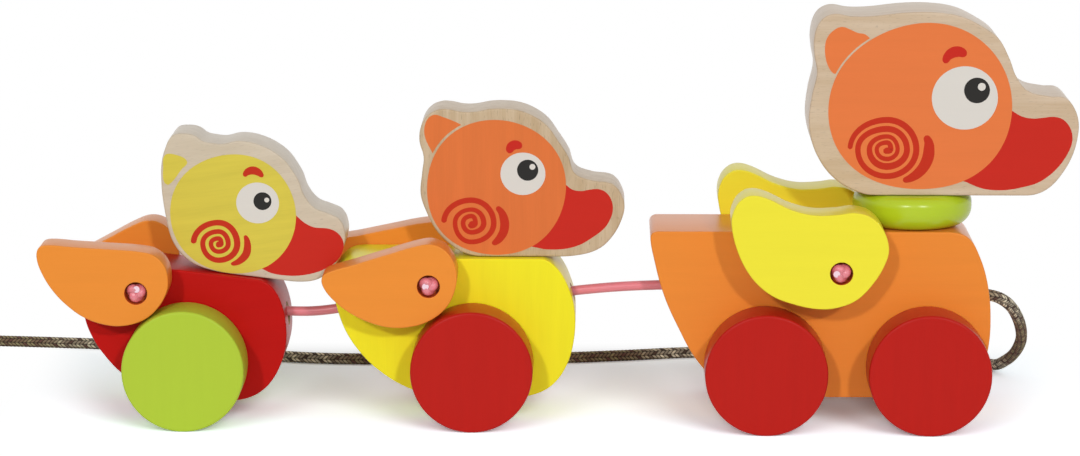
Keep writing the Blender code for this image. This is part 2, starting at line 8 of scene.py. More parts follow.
import bmesh
import bpy
import numpy as np
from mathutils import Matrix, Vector


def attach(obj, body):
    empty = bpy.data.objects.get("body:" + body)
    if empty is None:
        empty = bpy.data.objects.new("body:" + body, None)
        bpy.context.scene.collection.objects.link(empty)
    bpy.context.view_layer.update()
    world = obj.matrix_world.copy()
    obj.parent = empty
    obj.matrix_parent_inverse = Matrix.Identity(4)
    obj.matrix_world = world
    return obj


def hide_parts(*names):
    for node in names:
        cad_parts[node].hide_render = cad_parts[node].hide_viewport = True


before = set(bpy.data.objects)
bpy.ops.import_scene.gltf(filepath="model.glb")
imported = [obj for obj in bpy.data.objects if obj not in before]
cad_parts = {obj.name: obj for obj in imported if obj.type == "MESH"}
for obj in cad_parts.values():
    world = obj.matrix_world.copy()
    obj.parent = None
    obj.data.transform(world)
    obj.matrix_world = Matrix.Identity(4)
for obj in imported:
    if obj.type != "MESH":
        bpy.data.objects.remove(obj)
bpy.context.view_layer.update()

# %% [markdown]
# ## Working in millimetres
# A toy maker thinks in millimetres, so every length below is one, and a mesh is scaled to metres
# only when it is made. Paint colours are written as hex codes, as in a paint chart, and turned to
# the linear values that Blender works with.

# %% Units and colours
MM = 0.001


def linear_colour(code):
    """An sRGB hex code as linear red, green, blue and alpha.

    Each channel c becomes ((c + 0.055) / 1.055) to the power 2.4, or c / 12.92 near black.
    """
    c = np.array([int(code[i:i + 2], 16) for i in (1, 3, 5)]) / 255
    return (*np.where(c > 0.04045, ((c + 0.055) / 1.055) ** 2.4, c / 12.92).tolist(), 1.0)


print("half way up in a paint program is", round(linear_colour("#808080")[0], 3), "of the light")

# %% [markdown]
# ## From numbers to a surface
# Each new piece is a grid of points worked out with numpy, with a quad between every four
# neighbours. Modelling by hand would do for one board, but the same few helpers serve boards,
# wheels, cords and ink, and a size is changed by changing one number.

# %% Meshes
MERGE_WITHIN = 0.001    # points nearer to each other than this are one
SHARP_EDGE = 35.0       # degrees: edges flatter than this are shaded smooth


def grid_faces(rows, columns, close_rows=False, close_columns=True):
    """Quads between neighbouring points of a grid, numbered row by row.

    A direction that is closed joins its last row or column to its first.
    """
    r = np.arange(rows if close_rows else rows - 1)
    c = np.arange(columns if close_columns else columns - 1)
    r, c = np.meshgrid(r, c, indexing="ij")
    below, beside = (r + 1) % rows, (c + 1) % columns
    corners = [r * columns + c, r * columns + beside, below * columns + beside, below * columns + c]
    return np.stack(corners, -1).reshape(-1, 4)


def new_mesh(name, points, faces, corners=None, indices=None, closed=True):
    """A mesh from points in millimetres.

    Points that fall together are merged, which closes seams and poles, and the faces of a closed
    mesh are turned outwards. corners holds two numbers for each corner of each face, for a
    material to read, and indices says which material each face has.
    """
    mesh = bpy.data.meshes.new(name)
    mesh.from_pydata((points.reshape(-1, 3) * MM).tolist(), [], faces.tolist())
    if corners is not None:
        mesh.uv_layers.new(name="weave").uv.foreach_set("vector", corners.astype(np.float32).ravel())
    if indices is not None:
        mesh.polygons.foreach_set("material_index", indices.astype(np.int32))
    build = bmesh.new()
    build.from_mesh(mesh)
    bmesh.ops.remove_doubles(build, verts=build.verts, dist=MERGE_WITHIN * MM)
    if closed:
        bmesh.ops.recalc_face_normals(build, faces=build.faces)
    build.to_mesh(mesh)
    build.free()
    return mesh


def shade(mesh):
    """Smooth shading everywhere but over real edges."""
    mesh.shade_smooth()
    mesh.set_sharp_from_angle(angle=np.radians(SHARP_EDGE))


print("quads between four rings of six points:", len(grid_faces(4, 6)))

# %% [markdown]
# ## Pieces
# A piece is an object that shows one mesh. It rides on a body of the CAD model, so it moves when
# the toy does, takes its materials, and hides the CAD solids that it stands for. It stays at the
# origin, unturned and unscaled, because the places are in the mesh.


# %% Objects and pieces
def new_object(name, data):
    """An object in the scene that shows a mesh, a camera or a lamp."""
    made = bpy.data.objects.new(name, data)
    bpy.context.scene.collection.objects.link(made)
    return made


def make_piece(name, points, faces, materials, body, replaced=(), corners=None, indices=None,
               closed=True):
    """A piece of the toy that rides on a body of the frame and stands in for CAD nodes."""
    mesh = new_mesh(name, points, faces, corners, indices, closed)
    shade(mesh)
    made = new_object(name, mesh)
    for material in materials:
        mesh.materials.append(material)
    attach(made, body)
    if replaced:
        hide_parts(*replaced)
    return made


# %% [markdown]
# ## The camera
# The picture is taken with a long lens from about 1.7 m away and a little above, so the top edges
# of the boards show as thin strips. The lens is 4131 pixels long on an image 1080 pixels wide,
# which is 137.7 mm on a 36 mm sensor. Nothing is shifted and nothing is out of focus.

# %% Camera
LENS_PIXELS = 4131
IMAGE_WIDTH = 1080
SENSOR_WIDTH = 36.0
NEAREST_SEEN = 50.0
CAMERA_PLACE = (19.3, -1684.4, 371.8)
CAMERA_PITCH = 9.89     # degrees below level
CAMERA_YAW = 0.85       # degrees to the left

camera = new_object("camera", bpy.data.cameras.new("camera"))
camera.data.sensor_width = SENSOR_WIDTH
camera.data.lens = LENS_PIXELS / IMAGE_WIDTH * SENSOR_WIDTH
camera.data.clip_start = NEAREST_SEEN * MM
camera.location = Vector(CAMERA_PLACE) * MM
camera.rotation_euler = (np.radians(90 - CAMERA_PITCH), 0, np.radians(CAMERA_YAW))
bpy.context.scene.camera = camera
print("lens:", round(camera.data.lens, 1), "mm")

# %% [markdown]
# ## Where a material comes from
# Each material is the standard shader with a few nodes in front of it. One small function adds
# any node, sets it up and links it, so that a recipe below reads from top to bottom.

# %% Material helpers
# Blender's names of the nodes that several recipes use.
MATH, RANGE, NOISE = "ShaderNodeMath", "ShaderNodeMapRange", "ShaderNodeTexNoise"
MIX, HUE_VALUE, BUMP = "ShaderNodeMix", "ShaderNodeHueSaturation", "ShaderNodeBump"
# The numbered sockets of the Mix node when it mixes colours.
MIX_FACTOR, MIX_A, MIX_B, MIX_RESULT = 0, 6, 7, 2


def new_material(name):
    """A material with its node tree and the shader in it."""
    material = bpy.data.materials.new(name)
    material.use_nodes = True
    return material, material.node_tree, material.node_tree.nodes["Principled BSDF"]


def connect(tree, node, inputs):
    """Fill a node's inputs, listed in their order or named.

    Each is a value, an output of another node, or a whole node, which stands for its first output.
    """
    for label, value in inputs.items() if isinstance(inputs, dict) else enumerate(inputs):
        if isinstance(value, bpy.types.Node):
            value = value.outputs[0]
        if isinstance(value, bpy.types.NodeSocket):
            tree.links.new(value, node.inputs[label])
        else:
            node.inputs[label].default_value = value


def add(tree, kind, inputs=(), **settings):
    """Add a node of any kind with its settings and inputs."""
    node = tree.nodes.new(kind)
    for label, value in settings.items():
        setattr(node, label, value)
    connect(tree, node, inputs)
    return node


print("materials that came with the CAD model:", len(bpy.data.materials))

# %% [markdown]
# ## Drawn lines
# A cord's way and a board's sawn edge are drawn alike: a few points that the line passes through
# and a smooth curve between them. A Bezier object could do it too, but points in an array can be
# moved inwards, measured and read again at equal steps, which keeps the quads even.


# %% Curves
def unit(vectors):
    """The vectors at length 1."""
    return vectors / np.linalg.norm(vectors, axis=-1, keepdims=True)


def spans(line):
    """The distance from each point of a line to the next."""
    return np.linalg.norm(np.diff(line, axis=0), axis=1)


def full_turn(count):
    """Evenly spread angles once round, in radians."""
    return np.linspace(0, 2 * np.pi, count, endpoint=False)


def smooth_curve(points, closed=False, steps=12, hold=1 / 3):
    """A curve through the points, as an array of places.

    Between two points it is a cubic Bezier. Its handles lie along the line between the points on
    either side, and their length is the share hold of the span.
    """
    p = np.asarray(points, float)
    if closed:
        before, start, end, after = np.roll(p, 1, 0), p, np.roll(p, -1, 0), np.roll(p, -2, 0)
    else:
        start, end = p[:-1], p[1:]
        before = np.vstack([p[:1], p[:-2]])
        after = np.vstack([p[2:], p[-1:]])
    reach = np.linalg.norm(end - start, axis=1, keepdims=True) * hold
    leave, arrive = unit(end - before) * reach, unit(after - start) * reach
    t = (np.arange(steps) / steps)[None, :, None]
    a, b, c, d = (v[:, None, :] for v in (start, start + leave, end - arrive, end))
    curve = (1 - t) ** 3 * a + 3 * (1 - t) ** 2 * t * b + 3 * (1 - t) * t ** 2 * c + t ** 3 * d
    curve = curve.reshape(-1, p.shape[1])
    return curve if closed else np.vstack([curve, p[-1:]])


def evenly(curve, count, closed=False):
    """The curve read again at equal distances along it."""
    line = np.vstack([curve, curve[:1]]) if closed else curve
    run = np.concatenate([[0], np.cumsum(spans(line))])
    at = np.linspace(0, run[-1], count, endpoint=not closed)
    return np.stack([np.interp(at, run, line[:, k]) for k in range(line.shape[1])], 1)


square = smooth_curve([(0, 0), (1, 0), (1, 1), (0, 1)], closed=True)
print("a smooth curve through a square's corners is", round(spans(square).sum(), 2), "sides long")

# %% [markdown]
# ## The way of the pull cord
# The cord is a round braid, 5 mm thick. It leaves the mother's chest, curves down to the table on
# her far side and runs back past the ducklings. What the picture doesn't show is wound in a small
# coil that ends in a knot. Only its middle line is drawn here, from the picture.

# %% The cord's way
CORD_DIAMETER = 5.0
LIE = CORD_DIAMETER / 2 + 0.05      # the cord's middle where it lies on the floor
CORD_ROUTE = np.array([
    (169.2, 0.0, 50.4), (174.2, 0.0, 50.4), (180.8, 0.6, 50.2), (185.6, 4.0, 48.2), (190.5, 12.0, 43.6),
    (194.5, 23.0, 37.0), (197.3, 34.0, 30.0), (198.7, 44.0, 23.4), (198.4, 53.0, 17.6), (197.0, 63.0, 12.0),
    (194.7, 73.0, 7.4), (192.1, 82.0, 3.9), (188.6, 90.0, LIE), (181.7, 98.5, LIE), (167.2, 106.0, LIE),
    (132.2, 112.0, LIE), (97.2, 114.0, LIE), (59.2, 112.8, LIE), (30.2, 106.0, LIE), (3.8, 100.8, LIE),
    (-42.8, 97.0, LIE), (-94.8, 97.0, LIE), (-117.6, 100.9, LIE), (-153.8, 113.0, LIE), (-177.8, 121.0, LIE),
    (-205.8, 127.8, LIE), (-229.8, 131.4, LIE), (-251.0, 134.0, LIE), (-265.8, 135.5, LIE),
])
COIL_CENTRE = (-281.9, 110.5)
COIL_RADIUS = 25.0
KNOT_MIDDLE = np.array((-281.9, 93.4, 5.2))
COIL_TURN = (90.0, 630.0)   # degrees round the coil, from where the cord arrives to the knot
CLIMB = (340.0, 415.0)      # where it climbs over itself
TURN_IN = (570.0, 630.0)    # where it turns in to the knot


def ease(angle, start, end):
    """From 0 to 1 between two angles: s * s * (3 - 2 s), where s is the share of the way."""
    s = np.clip((angle - start) / (end - start), 0, 1)
    return s * s * (3 - 2 * s)


def coil_way(steps=200):
    """The cord's last stretch: once round on the floor, up over itself, on round, and in to the knot.

    The angle grows steadily. The height rises by one diameter while the cord climbs, and the
    distance from the coil's middle shrinks at the end until it meets the knot.
    """
    angle = np.linspace(*COIL_TURN, steps)
    inwards = ease(angle, *TURN_IN)
    height = LIE + ease(angle, *CLIMB) * CORD_DIAMETER
    height = height + inwards ** 2 * (KNOT_MIDDLE[2] - height)
    radius = COIL_RADIUS + inwards * (COIL_CENTRE[1] - KNOT_MIDDLE[1] - COIL_RADIUS)
    turn = np.radians(angle)
    return np.stack([COIL_CENTRE[0] + radius * np.cos(turn), COIL_CENTRE[1] + radius * np.sin(turn),
                     height], 1)


cord_way = np.vstack([smooth_curve(CORD_ROUTE), coil_way()])

# %% [markdown]
# ## Tubes
# A cord is a ring of points carried along its way. A curve object with a round bevel would give
# the same tube, but only a smooth one, and here the radius may change from point to point.


# %% Tube round a path
def rings(way, radius, across, up, sides):
    """Rings round a path: its points plus the radius times cos a across and sin a up."""
    a = full_turn(sides)[None, :, None]
    spokes = np.cos(a) * across[:, None, :] + np.sin(a) * up[:, None, :]
    return way[:, None, :] + np.asarray(radius)[..., None] * spokes


def tube(way, radius, sides):
    """A tube round a path, with one direction of each ring kept level and both ends closed.

    The radius is one number, or one for each ring, or one for each point.
    """
    ahead = unit(np.gradient(way, axis=0))
    level = unit(np.cross(ahead, (0, 0, 1.0)))
    radius = np.asarray(radius, float)
    radius = np.broadcast_to(radius[:, None] if radius.ndim == 1 else radius, (len(way), sides))
    wall = rings(way, radius, level, np.cross(level, ahead), sides)
    first, last = (np.broadcast_to(end, (1, sides, 3)) for end in (way[0], way[-1]))
    return np.concatenate([first, wall, last])


print("points of a plain cord with 12 sides:", tube(cord_way, CORD_DIAMETER / 2, 12).shape[:2])

# %% [markdown]
# ## Yarns on a tube
# In a round braid half of the yarns climb to the left and half to the right, and each passes over
# two and under two. The places where the first family is on top lie in columns along the cord, and
# so do those of the other one, which gives the look of nested arrowheads. Two numbers place a
# point in the weave: the sum and the difference of its yarn numbers in the two families. The tube
# is raised where a yarn lies on top, so the braid shows at the cord's edge too, as bump can't.

# %% Braid
YARNS_EACH_WAY = 8
YARN_PITCH = 1.75       # mm along the cord from one yarn to the next of its family
YARN_RELIEF = 0.3
CORD_SIDES, RING_SPACING = 40, 0.44


def weave_numbers(turn, along):
    """The sum and difference of the yarn numbers, from the share of a turn and the distance along."""
    return np.broadcast_arrays(2 * YARNS_EACH_WAY * turn, 2 * along / YARN_PITCH)


def braid_height(sides, along):
    """How high the yarn on top lies, from 0 to 1, for each ring and each point of it.

    It is the root of the cosine across the yarn times the sine across its column.
    """
    total, differ = weave_numbers(np.arange(sides)[None, :] / sides, along[:, None])
    left_on_top = np.floor(total / 2) % 2 == 0
    yarn = np.where(left_on_top, total + differ, total - differ) / 2
    return np.sqrt(np.abs(np.cos(np.pi * (yarn - np.round(yarn))) * np.sin(np.pi * total / 2)))


def braid_corners(rows, sides, along):
    """The weave numbers at the corners of a tube's faces, in the order of grid_faces."""
    row, side = np.meshgrid(np.arange(rows), np.arange(sides), indexing="ij")
    turn = np.stack([side, side + 1, side + 1, side], -1) / sides
    return np.stack(weave_numbers(turn, along[np.stack([row, row, row + 1, row + 1], -1)]), -1)


def braided_tube(way, diameter, sides, spacing):
    """The path read evenly, the points of a braided tube round it, and its weave numbers."""
    count = int(spans(way).sum() / spacing)
    way = evenly(way, count)
    along = np.arange(count) * spacing
    points = tube(way, diameter / 2 - YARN_RELIEF * (1 - braid_height(sides, along)), sides)
    return way, points, braid_corners(count + 1, sides, np.pad(along, 1, "edge"))


cord_line, cord_points, cord_weave = braided_tube(cord_way, CORD_DIAMETER, CORD_SIDES, RING_SPACING)
print("cord rings:", len(cord_line))

# %% [markdown]
# ## Knots
# An overhand knot joined at its ends is a trefoil, which has a short formula. Drawn tight, with
# the cord's own thickness, it reads as a real knot from every side, as a plain ball wouldn't.


# %% Knot
def trefoil(middle, across, along, axis, count=160):
    """The closed path of a simple knot.

    x = sin t + 2 sin 2t and y = cos t - 2 cos 2t lie square to the axis, and sin 3t goes along it.
    """
    t = full_turn(count)
    flat = np.stack([np.sin(t) + 2 * np.sin(2 * t), np.cos(t) - 2 * np.cos(2 * t)], 1) * across / 3
    deep = -np.sin(3 * t) * along
    order = {"x": (deep, flat[:, 0], flat[:, 1]), "y": (flat[:, 0], deep, flat[:, 1])}[axis]
    return np.stack(order, 1) + middle


def closed_tube(way, radius, sides):
    """A tube round a closed path. Each ring starts in the direction away from the path's middle."""
    ahead = unit(np.roll(way, -1, 0) - np.roll(way, 1, 0))
    out = way - way.mean(0)
    out = unit(out - (out * ahead).sum(1, keepdims=True) * ahead)
    return rings(way, radius, out, np.cross(ahead, out), sides)


END_KNOT_ACROSS, END_KNOT_ALONG, END_KNOT_RADIUS, KNOT_SIDES = 2.9, 1.9, 2.1, 20
knot_way = trefoil(KNOT_MIDDLE, END_KNOT_ACROSS, END_KNOT_ALONG, "x")
knot_points = closed_tube(knot_way, END_KNOT_RADIUS, KNOT_SIDES)
print("end knot:", np.ptp(knot_points.reshape(-1, 3), 0).round(1), "mm")

# %% [markdown]
# ## Which yarn is on top
# The colours have to follow the yarns that the mesh raises. So the mesh hands its two weave numbers
# over as a UV map, and the nodes work out from them which yarn is on top and how high it stands,
# much as the mesh does. White noise of a yarn's number then gives each yarn its own tone.

# %% Yarns in the material
FAMILY_STEP = 20.0      # keeps the numbers of the two families of yarns apart
COLUMN_FULLNESS = 0.6   # a power below 1 keeps a yarn high nearly to the edges of its column

cord_material, tree, shader = new_material("braided_polyester")
weave = add(tree, "ShaderNodeUVMap", uv_map="weave")
total, differ = add(tree, "ShaderNodeSeparateXYZ", [weave]).outputs[:2]
half = add(tree, MATH, [total, 0.5], operation="MULTIPLY")
column = add(tree, MATH, [half], operation="FLOOR")
family = add(tree, MATH, [column, 2.0], operation="FLOORED_MODULO")
sign = add(tree, MATH, [family, -2.0, 1.0], operation="MULTIPLY_ADD")
twice = add(tree, MATH, [differ, sign, total], operation="MULTIPLY_ADD")
yarn = add(tree, MATH, [twice, 0.5], operation="MULTIPLY")
nearest = add(tree, MATH, [yarn], operation="ROUND")
number = add(tree, MATH, [nearest, float(YARNS_EACH_WAY)], operation="FLOORED_MODULO")
own = add(tree, MATH, [family, FAMILY_STEP, number], operation="MULTIPLY_ADD")
tone = add(tree, "ShaderNodeTexWhiteNoise", {"W": own}, noise_dimensions="1D")

# The height of the yarn on top, as in the mesh: a cosine across the yarn, a sine across its column.
waves = []
for value, times, wave in ((yarn, np.pi, "COSINE"), (total, np.pi / 2, "SINE")):
    angle = add(tree, MATH, [value, times], operation="MULTIPLY")
    waves.append(add(tree, MATH, [add(tree, MATH, [angle], operation=wave)], operation="ABSOLUTE"))
rounded = add(tree, MATH, [waves[1], COLUMN_FULLNESS], operation="POWER")
height = add(tree, MATH, [waves[0], rounded], operation="MULTIPLY")
print("nodes that find the yarn:", len(tree.nodes))

# %% [markdown]
# ## Braided polyester
# The yarns are polyester, dull and a little hairy, and each has its own tone between dark brown
# and beige. Painted shade darkens the grooves between them. Along the cord the mix drifts every few
# centimetres between mostly beige and mostly brown, because yarns of several dye lots run through the braid.

# %% Cord material
DARK_YARN, BROWN_YARN = "#4A3A31", "#6B4A40"
PALE_YARN, OLIVE_YARN = "#F0E4C8", "#A1966F"
# A dark colour that stands for the shade in the grooves between the yarns: painted shade.
GROOVE_PAINTED_SHADE = "#2A211B"
DRIFT_LENGTH = 45.0     # mm from a pale stretch of the cord to a dark one
FUZZ_SIZE = 0.7
FUZZ_HEIGHT = 0.1

spot = add(tree, "ShaderNodeTexCoord").outputs["Object"]
drift = add(tree, NOISE, {"Vector": spot, "Scale": 1 / (DRIFT_LENGTH * MM), "Detail": 1.0})
mostly = add(tree, RANGE, {"Value": drift, "From Min": 0.43, "From Max": 0.57})
fuzz = add(tree, NOISE, {"Vector": spot, "Scale": 1 / (FUZZ_SIZE * MM), "Detail": 2.0})
lots = [add(tree, MIX, {MIX_FACTOR: mostly, MIX_A: linear_colour(first), MIX_B: linear_colour(second)},
            data_type="RGBA").outputs[MIX_RESULT]
        for first, second in ((BROWN_YARN, DARK_YARN), (OLIVE_YARN, PALE_YARN))]
yarns = add(tree, MIX, {MIX_FACTOR: tone, MIX_A: lots[0], MIX_B: lots[1]}, data_type="RGBA")
# Painted shade: where the yarn on top lies low, its colour is mixed towards the dark groove colour.
depth = add(tree, RANGE, {"Value": height, "From Min": 0.05, "From Max": 0.65})
groove_shaded = add(tree, MIX, {MIX_FACTOR: depth, MIX_A: linear_colour(GROOVE_PAINTED_SHADE), MIX_B: yarns.outputs[MIX_RESULT]},
              data_type="RGBA")
lift = add(tree, RANGE, {"Value": fuzz, "To Min": 0.85, "To Max": 1.55})
flecked = add(tree, HUE_VALUE, {"Color": groove_shaded.outputs[MIX_RESULT], "Value": lift})
bump = add(tree, BUMP, {"Strength": 0.4, "Distance": FUZZ_HEIGHT * MM, "Height": fuzz})
connect(tree, shader, {"Base Color": flecked, "Roughness": 0.8, "Specular IOR Level": 0.25, "Normal": bump})
print("cord material nodes:", len(tree.nodes))

# %% [markdown]
# ## Pull cord and its knot
# Both pieces share the material. The knot's weave has no true length, so its numbers simply run
# on for a whole number of yarns, and the braid meets itself where the knot's path closes.

# %% Pull cord
KNOT_YARNS = 32         # a multiple of the yarns each way, so that their tones meet too
pull_cord = make_piece("pull_cord_braid", cord_points, grid_faces(len(cord_points), CORD_SIDES),
                       [cord_material], "mother", ("pull_cord", "pull_cord_coil"), cord_weave)
knot_along = np.linspace(0, KNOT_YARNS * YARN_PITCH, len(knot_way) + 1)
knot_weave = braid_corners(len(knot_way), KNOT_SIDES, knot_along)
end_knot = make_piece("pull_cord_end_knot", knot_points, grid_faces(len(knot_way), KNOT_SIDES, True),
                      [cord_material], "mother", ("pull_cord_knot",), knot_weave)
print("cord triangles:", 2 * len(pull_cord.data.polygons))

# %% [markdown]
# ## The table
# The toy stands on a white table. In the picture it is white right up to soft grey shadows and
# fades to plain white further back, as on a sweep that rises towards the lamps. Lamps as low as
# these only graze a flat plane, which would look grey. So the rays that show the background, seen
# straight, mirrored or through glass, meet it shaded as if it were tilted to the lamps, and the
# light that it throws back on the toy is that of plain white paper.

# %% Table
FLOOR_REACH = 4000.0
# Where the seen floor fades to plain white, in mm behind the toy's middle and to either side.
FADE_BACK, FADE_SIDE = (90.0, 150.0), (190.0, 232.0)
SWEEP_TILT = 38.0       # degrees towards the lamps
# Over-exposed, as the picture's table is, and bluish against the warm light that the toy throws on it.
SWEEP_COLOUR = (1.46, 1.58, 1.65, 1.0)


def looking(tree):
    """1 for a ray that shows the background: seen straight, mirrored in a shine or through glass."""
    rays = add(tree, "ShaderNodeLightPath").outputs
    seen_or_mirrored = add(tree, MATH, [rays["Is Camera Ray"], rays["Is Glossy Ray"]], operation="MAXIMUM")
    return add(tree, MATH, [seen_or_mirrored, rays["Is Transmission Ray"]], operation="MAXIMUM")


floor_corners = np.array([(-1, -1, 0), (1, -1, 0), (1, 1, 0), (-1, 1, 0)]) * FLOOR_REACH
floor = new_object("floor", new_mesh("floor", floor_corners, np.array([(0, 1, 2, 3)]), closed=False))

floor_paint, tree, shader = new_material("white_table")
connect(tree, shader, {"Base Color": linear_colour("#EFF3F4"), "Roughness": 0.9, "Specular IOR Level": 0.0})
spot = add(tree, "ShaderNodeTexCoord").outputs["Object"]
across, back, _ = add(tree, "ShaderNodeSeparateXYZ", [spot]).outputs
aside = add(tree, MATH, [across], operation="ABSOLUTE")
fades = [add(tree, RANGE, {"Value": value, "From Min": start * MM, "From Max": end * MM},
             interpolation_type="SMOOTHSTEP")
         for value, (start, end) in ((back, FADE_BACK), (aside, FADE_SIDE))]
fade = add(tree, MATH, fades, operation="MAXIMUM")
white = add(tree, "ShaderNodeEmission", {"Color": (1, 1, 1, 1), "Strength": 1.0})
tilt = np.radians(SWEEP_TILT)
tilted = add(tree, "ShaderNodeCombineXYZ", [0.0, -np.sin(tilt), np.cos(tilt)])
sweep = add(tree, "ShaderNodeBsdfDiffuse", {"Color": SWEEP_COLOUR, "Normal": tilted})
seen = add(tree, "ShaderNodeMixShader", [fade, sweep, white])
choice = add(tree, "ShaderNodeMixShader", [looking(tree), shader, seen])
connect(tree, tree.nodes["Material Output"], {"Surface": choice})
floor.data.materials.append(floor_paint)
print("table:", floor.dimensions[0], "m wide")

# %% [markdown]
# ## Light
# Soft white light comes from all round. On the ducks the picture has crisp twin shadows, of lamps
# to the right and to the left, but the shadows on the table are wide and soft. No lamp gives both,
# so the toy has two small lamps, the table has three broad ones, and each is linked to its own.

# %% World and lamps
SKY_LIGHT = 0.45        # the world's strength as light. Where it is seen its strength is 1, plain white
# Each lamp's azimuth, 0 in front and growing to the right, its elevation, strength and breadth. All
# but the strength are in degrees.
TOY_LAMPS = {"lamp_right": (18, 22, 0.85, 3.5), "lamp_left": (-16, 22, 0.85, 3.5)}
TABLE_LAMPS = {"table_lamp_right": (24, 26, 0.8, 28.0), "table_lamp_left": (-22, 26, 0.42, 28.0),
               "table_lamp_low": (0, 9, 0.62, 14.0)}

world = bpy.data.worlds.new("studio")
bpy.context.scene.world = world
world.use_nodes = True
tree = world.node_tree
strength = add(tree, MATH, [looking(tree), 1.0 - SKY_LIGHT, SKY_LIGHT], operation="MULTIPLY_ADD")
connect(tree, tree.nodes["Background"], {"Color": (1, 1, 1, 1), "Strength": strength})


def lamp(name, for_table, azimuth, elevation, strength, breadth):
    """A distant lamp that lights the table alone, or everything but the table."""
    a, e = np.radians(azimuth), np.radians(elevation)
    towards = Vector((np.sin(a) * np.cos(e), -np.cos(a) * np.cos(e), np.sin(e)))
    made = new_object(name, bpy.data.lights.new(name, "SUN"))
    made.data.energy = strength
    made.data.angle = np.radians(breadth)
    made.rotation_euler = towards.to_track_quat("Z", "Y").to_euler()
    lit = bpy.data.collections.new(f"{name}_lights")
    lit.objects.link(floor)
    made.light_linking.receiver_collection = lit
    if not for_table:
        lit.collection_objects[0].light_linking.link_state = "EXCLUDE"


for lamps, for_table in ((TOY_LAMPS, False), (TABLE_LAMPS, True)):
    for name, settings in lamps.items():
        lamp(name, for_table, *settings)
bpy.context.scene.view_settings.view_transform = "Standard"
print("lamps:", len(TOY_LAMPS), "for the toy and", len(TABLE_LAMPS), "for the table")

# %% [markdown]
# ## Where each duck stands
# Each duck is drawn in its own side view, with X from its middle and Z from the floor or, for a
# duckling, from its axle. The rear duckling leans beak-down, as in the picture. Drawing it upright
# and turning it after that is simpler than drawing it leaning.

# %% Ducks
# Each duck's middle, the height of its origin and its lean in degrees.
DUCKS = {"mother": (120.1, 0.0, 0.0), "duckling_2": (-33.1, 25.0, 0.0), "duckling_1": (-150.8, 25.0, 7.0)}
OUTWARDS = {"left": 1, "right": -1}


def place(duck, x, y, z):
    """Side-view places of a duck as places in the whole toy, turned by the duck's lean about its origin."""
    middle, height, lean = DUCKS[duck]
    c, s = np.cos(np.radians(lean)), np.sin(np.radians(lean))
    x, y, z = np.broadcast_arrays(x, y, z)
    return np.stack([middle + x * c + z * s, y, height - x * s + z * c], -1)


print("a point 50 mm above the rear duckling's axle:", place("duckling_1", 0.0, 0.0, 50.0).round(1))

# %% [markdown]
# ## Grain
# The boards are beech, which has a fine, even grain with short dark flecks, about 2 mm long and a
# fifth of a millimetre wide. A photograph of wood would repeat and run wrongly round the edges.
# Noise stretched along the grain runs through the whole board, as fibres do.

# %% Grain
TONE_LENGTH, TONE_WIDTH = 45.0, 4.0     # mm, of the slow bands of tone
FIBRE_LENGTH, FIBRE_WIDTH = 14.0, 0.5   # mm, drawn wider than real fibres so that they show


def grain(tree, length, width, turn, detail=2.0):
    """Noise stretched along the grain. turn is the grain's angle in the side view, in degrees."""
    spot = add(tree, "ShaderNodeTexCoord").outputs["Object"]
    turned = add(tree, "ShaderNodeMapping", {"Vector": spot, "Rotation": (0, np.radians(turn), 0)})
    scale = [1 / (size * MM) for size in (length, width, width)]
    scaled = add(tree, "ShaderNodeMapping", {"Vector": turned, "Scale": scale})
    return add(tree, NOISE, {"Vector": scaled, "Scale": 1.0, "Detail": detail})


print("fibres are drawn", FIBRE_LENGTH, "mm long and", FIBRE_WIDTH, "mm wide")

# %% [markdown]
# ## Enamel and ink
# Bodies, wings and wheels are sprayed with an opaque satin enamel that hides the wood except for a
# faint trace of its fibres. Its gloss is the reason why the top edges look pale in the picture: at
# a low angle the enamel mirrors the white studio. The faces are printed on the bare heads in
# thinner ink, and more of the grain shows through. Without such a trace, in tone, gloss and
# height, paint looks like plastic, so one number says how much of it comes through.

# %% Enamel and ink
PAINTED_RELIEF = 0.08
GRAIN_DARKENS, GRAIN_LIGHTENS = 0.28, 0.14      # shares, where the whole grain shows through
# A thin clear coat that shines at low angles and hardly from in front, as satin finishes do.
SATIN = {"Coat Weight": 0.65, "Coat IOR": 1.2, "Coat Roughness": 0.3}


def painted(name, code, roughness, turn, show, coat=SATIN["Coat Weight"]):
    """Enamel or ink on wood. show is how much of the grain comes through, from 0 to 1."""
    material, tree, shader = new_material(name)
    fibres = grain(tree, FIBRE_LENGTH, FIBRE_WIDTH, turn)
    tone = grain(tree, TONE_LENGTH, TONE_WIDTH, turn)
    mixed = add(tree, MATH, [fibres, 0.5, tone], operation="MULTIPLY_ADD")
    value = add(tree, RANGE, {"Value": mixed, "From Min": 0.45, "From Max": 1.05,
                              "To Min": 1 - GRAIN_DARKENS * show, "To Max": 1 + GRAIN_LIGHTENS * show})
    colour = add(tree, HUE_VALUE, {"Color": linear_colour(code), "Value": value})
    sheen = add(tree, RANGE, {"Value": fibres, "To Min": roughness - 0.06, "To Max": roughness + 0.08})
    bump = add(tree, BUMP, {"Strength": 0.12 + 0.25 * show, "Distance": PAINTED_RELIEF * MM,
                            "Height": fibres})
    connect(tree, shader, {**SATIN, "Coat Weight": coat, "Base Color": colour, "Roughness": sheen,
                           "Specular IOR Level": 0.06, "Normal": bump})
    return material


print(f"shown whole, the grain would darken a paint by up to {GRAIN_DARKENS:.0%}")

# %% [markdown]
# ## Bare beech
# The heads are sanded and left without paint. Slow bands of tone and fine fibres are mixed from
# pale to dark wood, and only the highest peaks of a third noise become flecks, so they stay sparse.

# %% Bare beech
FLECK_LENGTH, FLECK_WIDTH = 2.6, 0.35   # mm, drawn a little larger than real ones so that they show
FLECK_DARKENS = 0.3
SANDED_RELIEF = 0.1


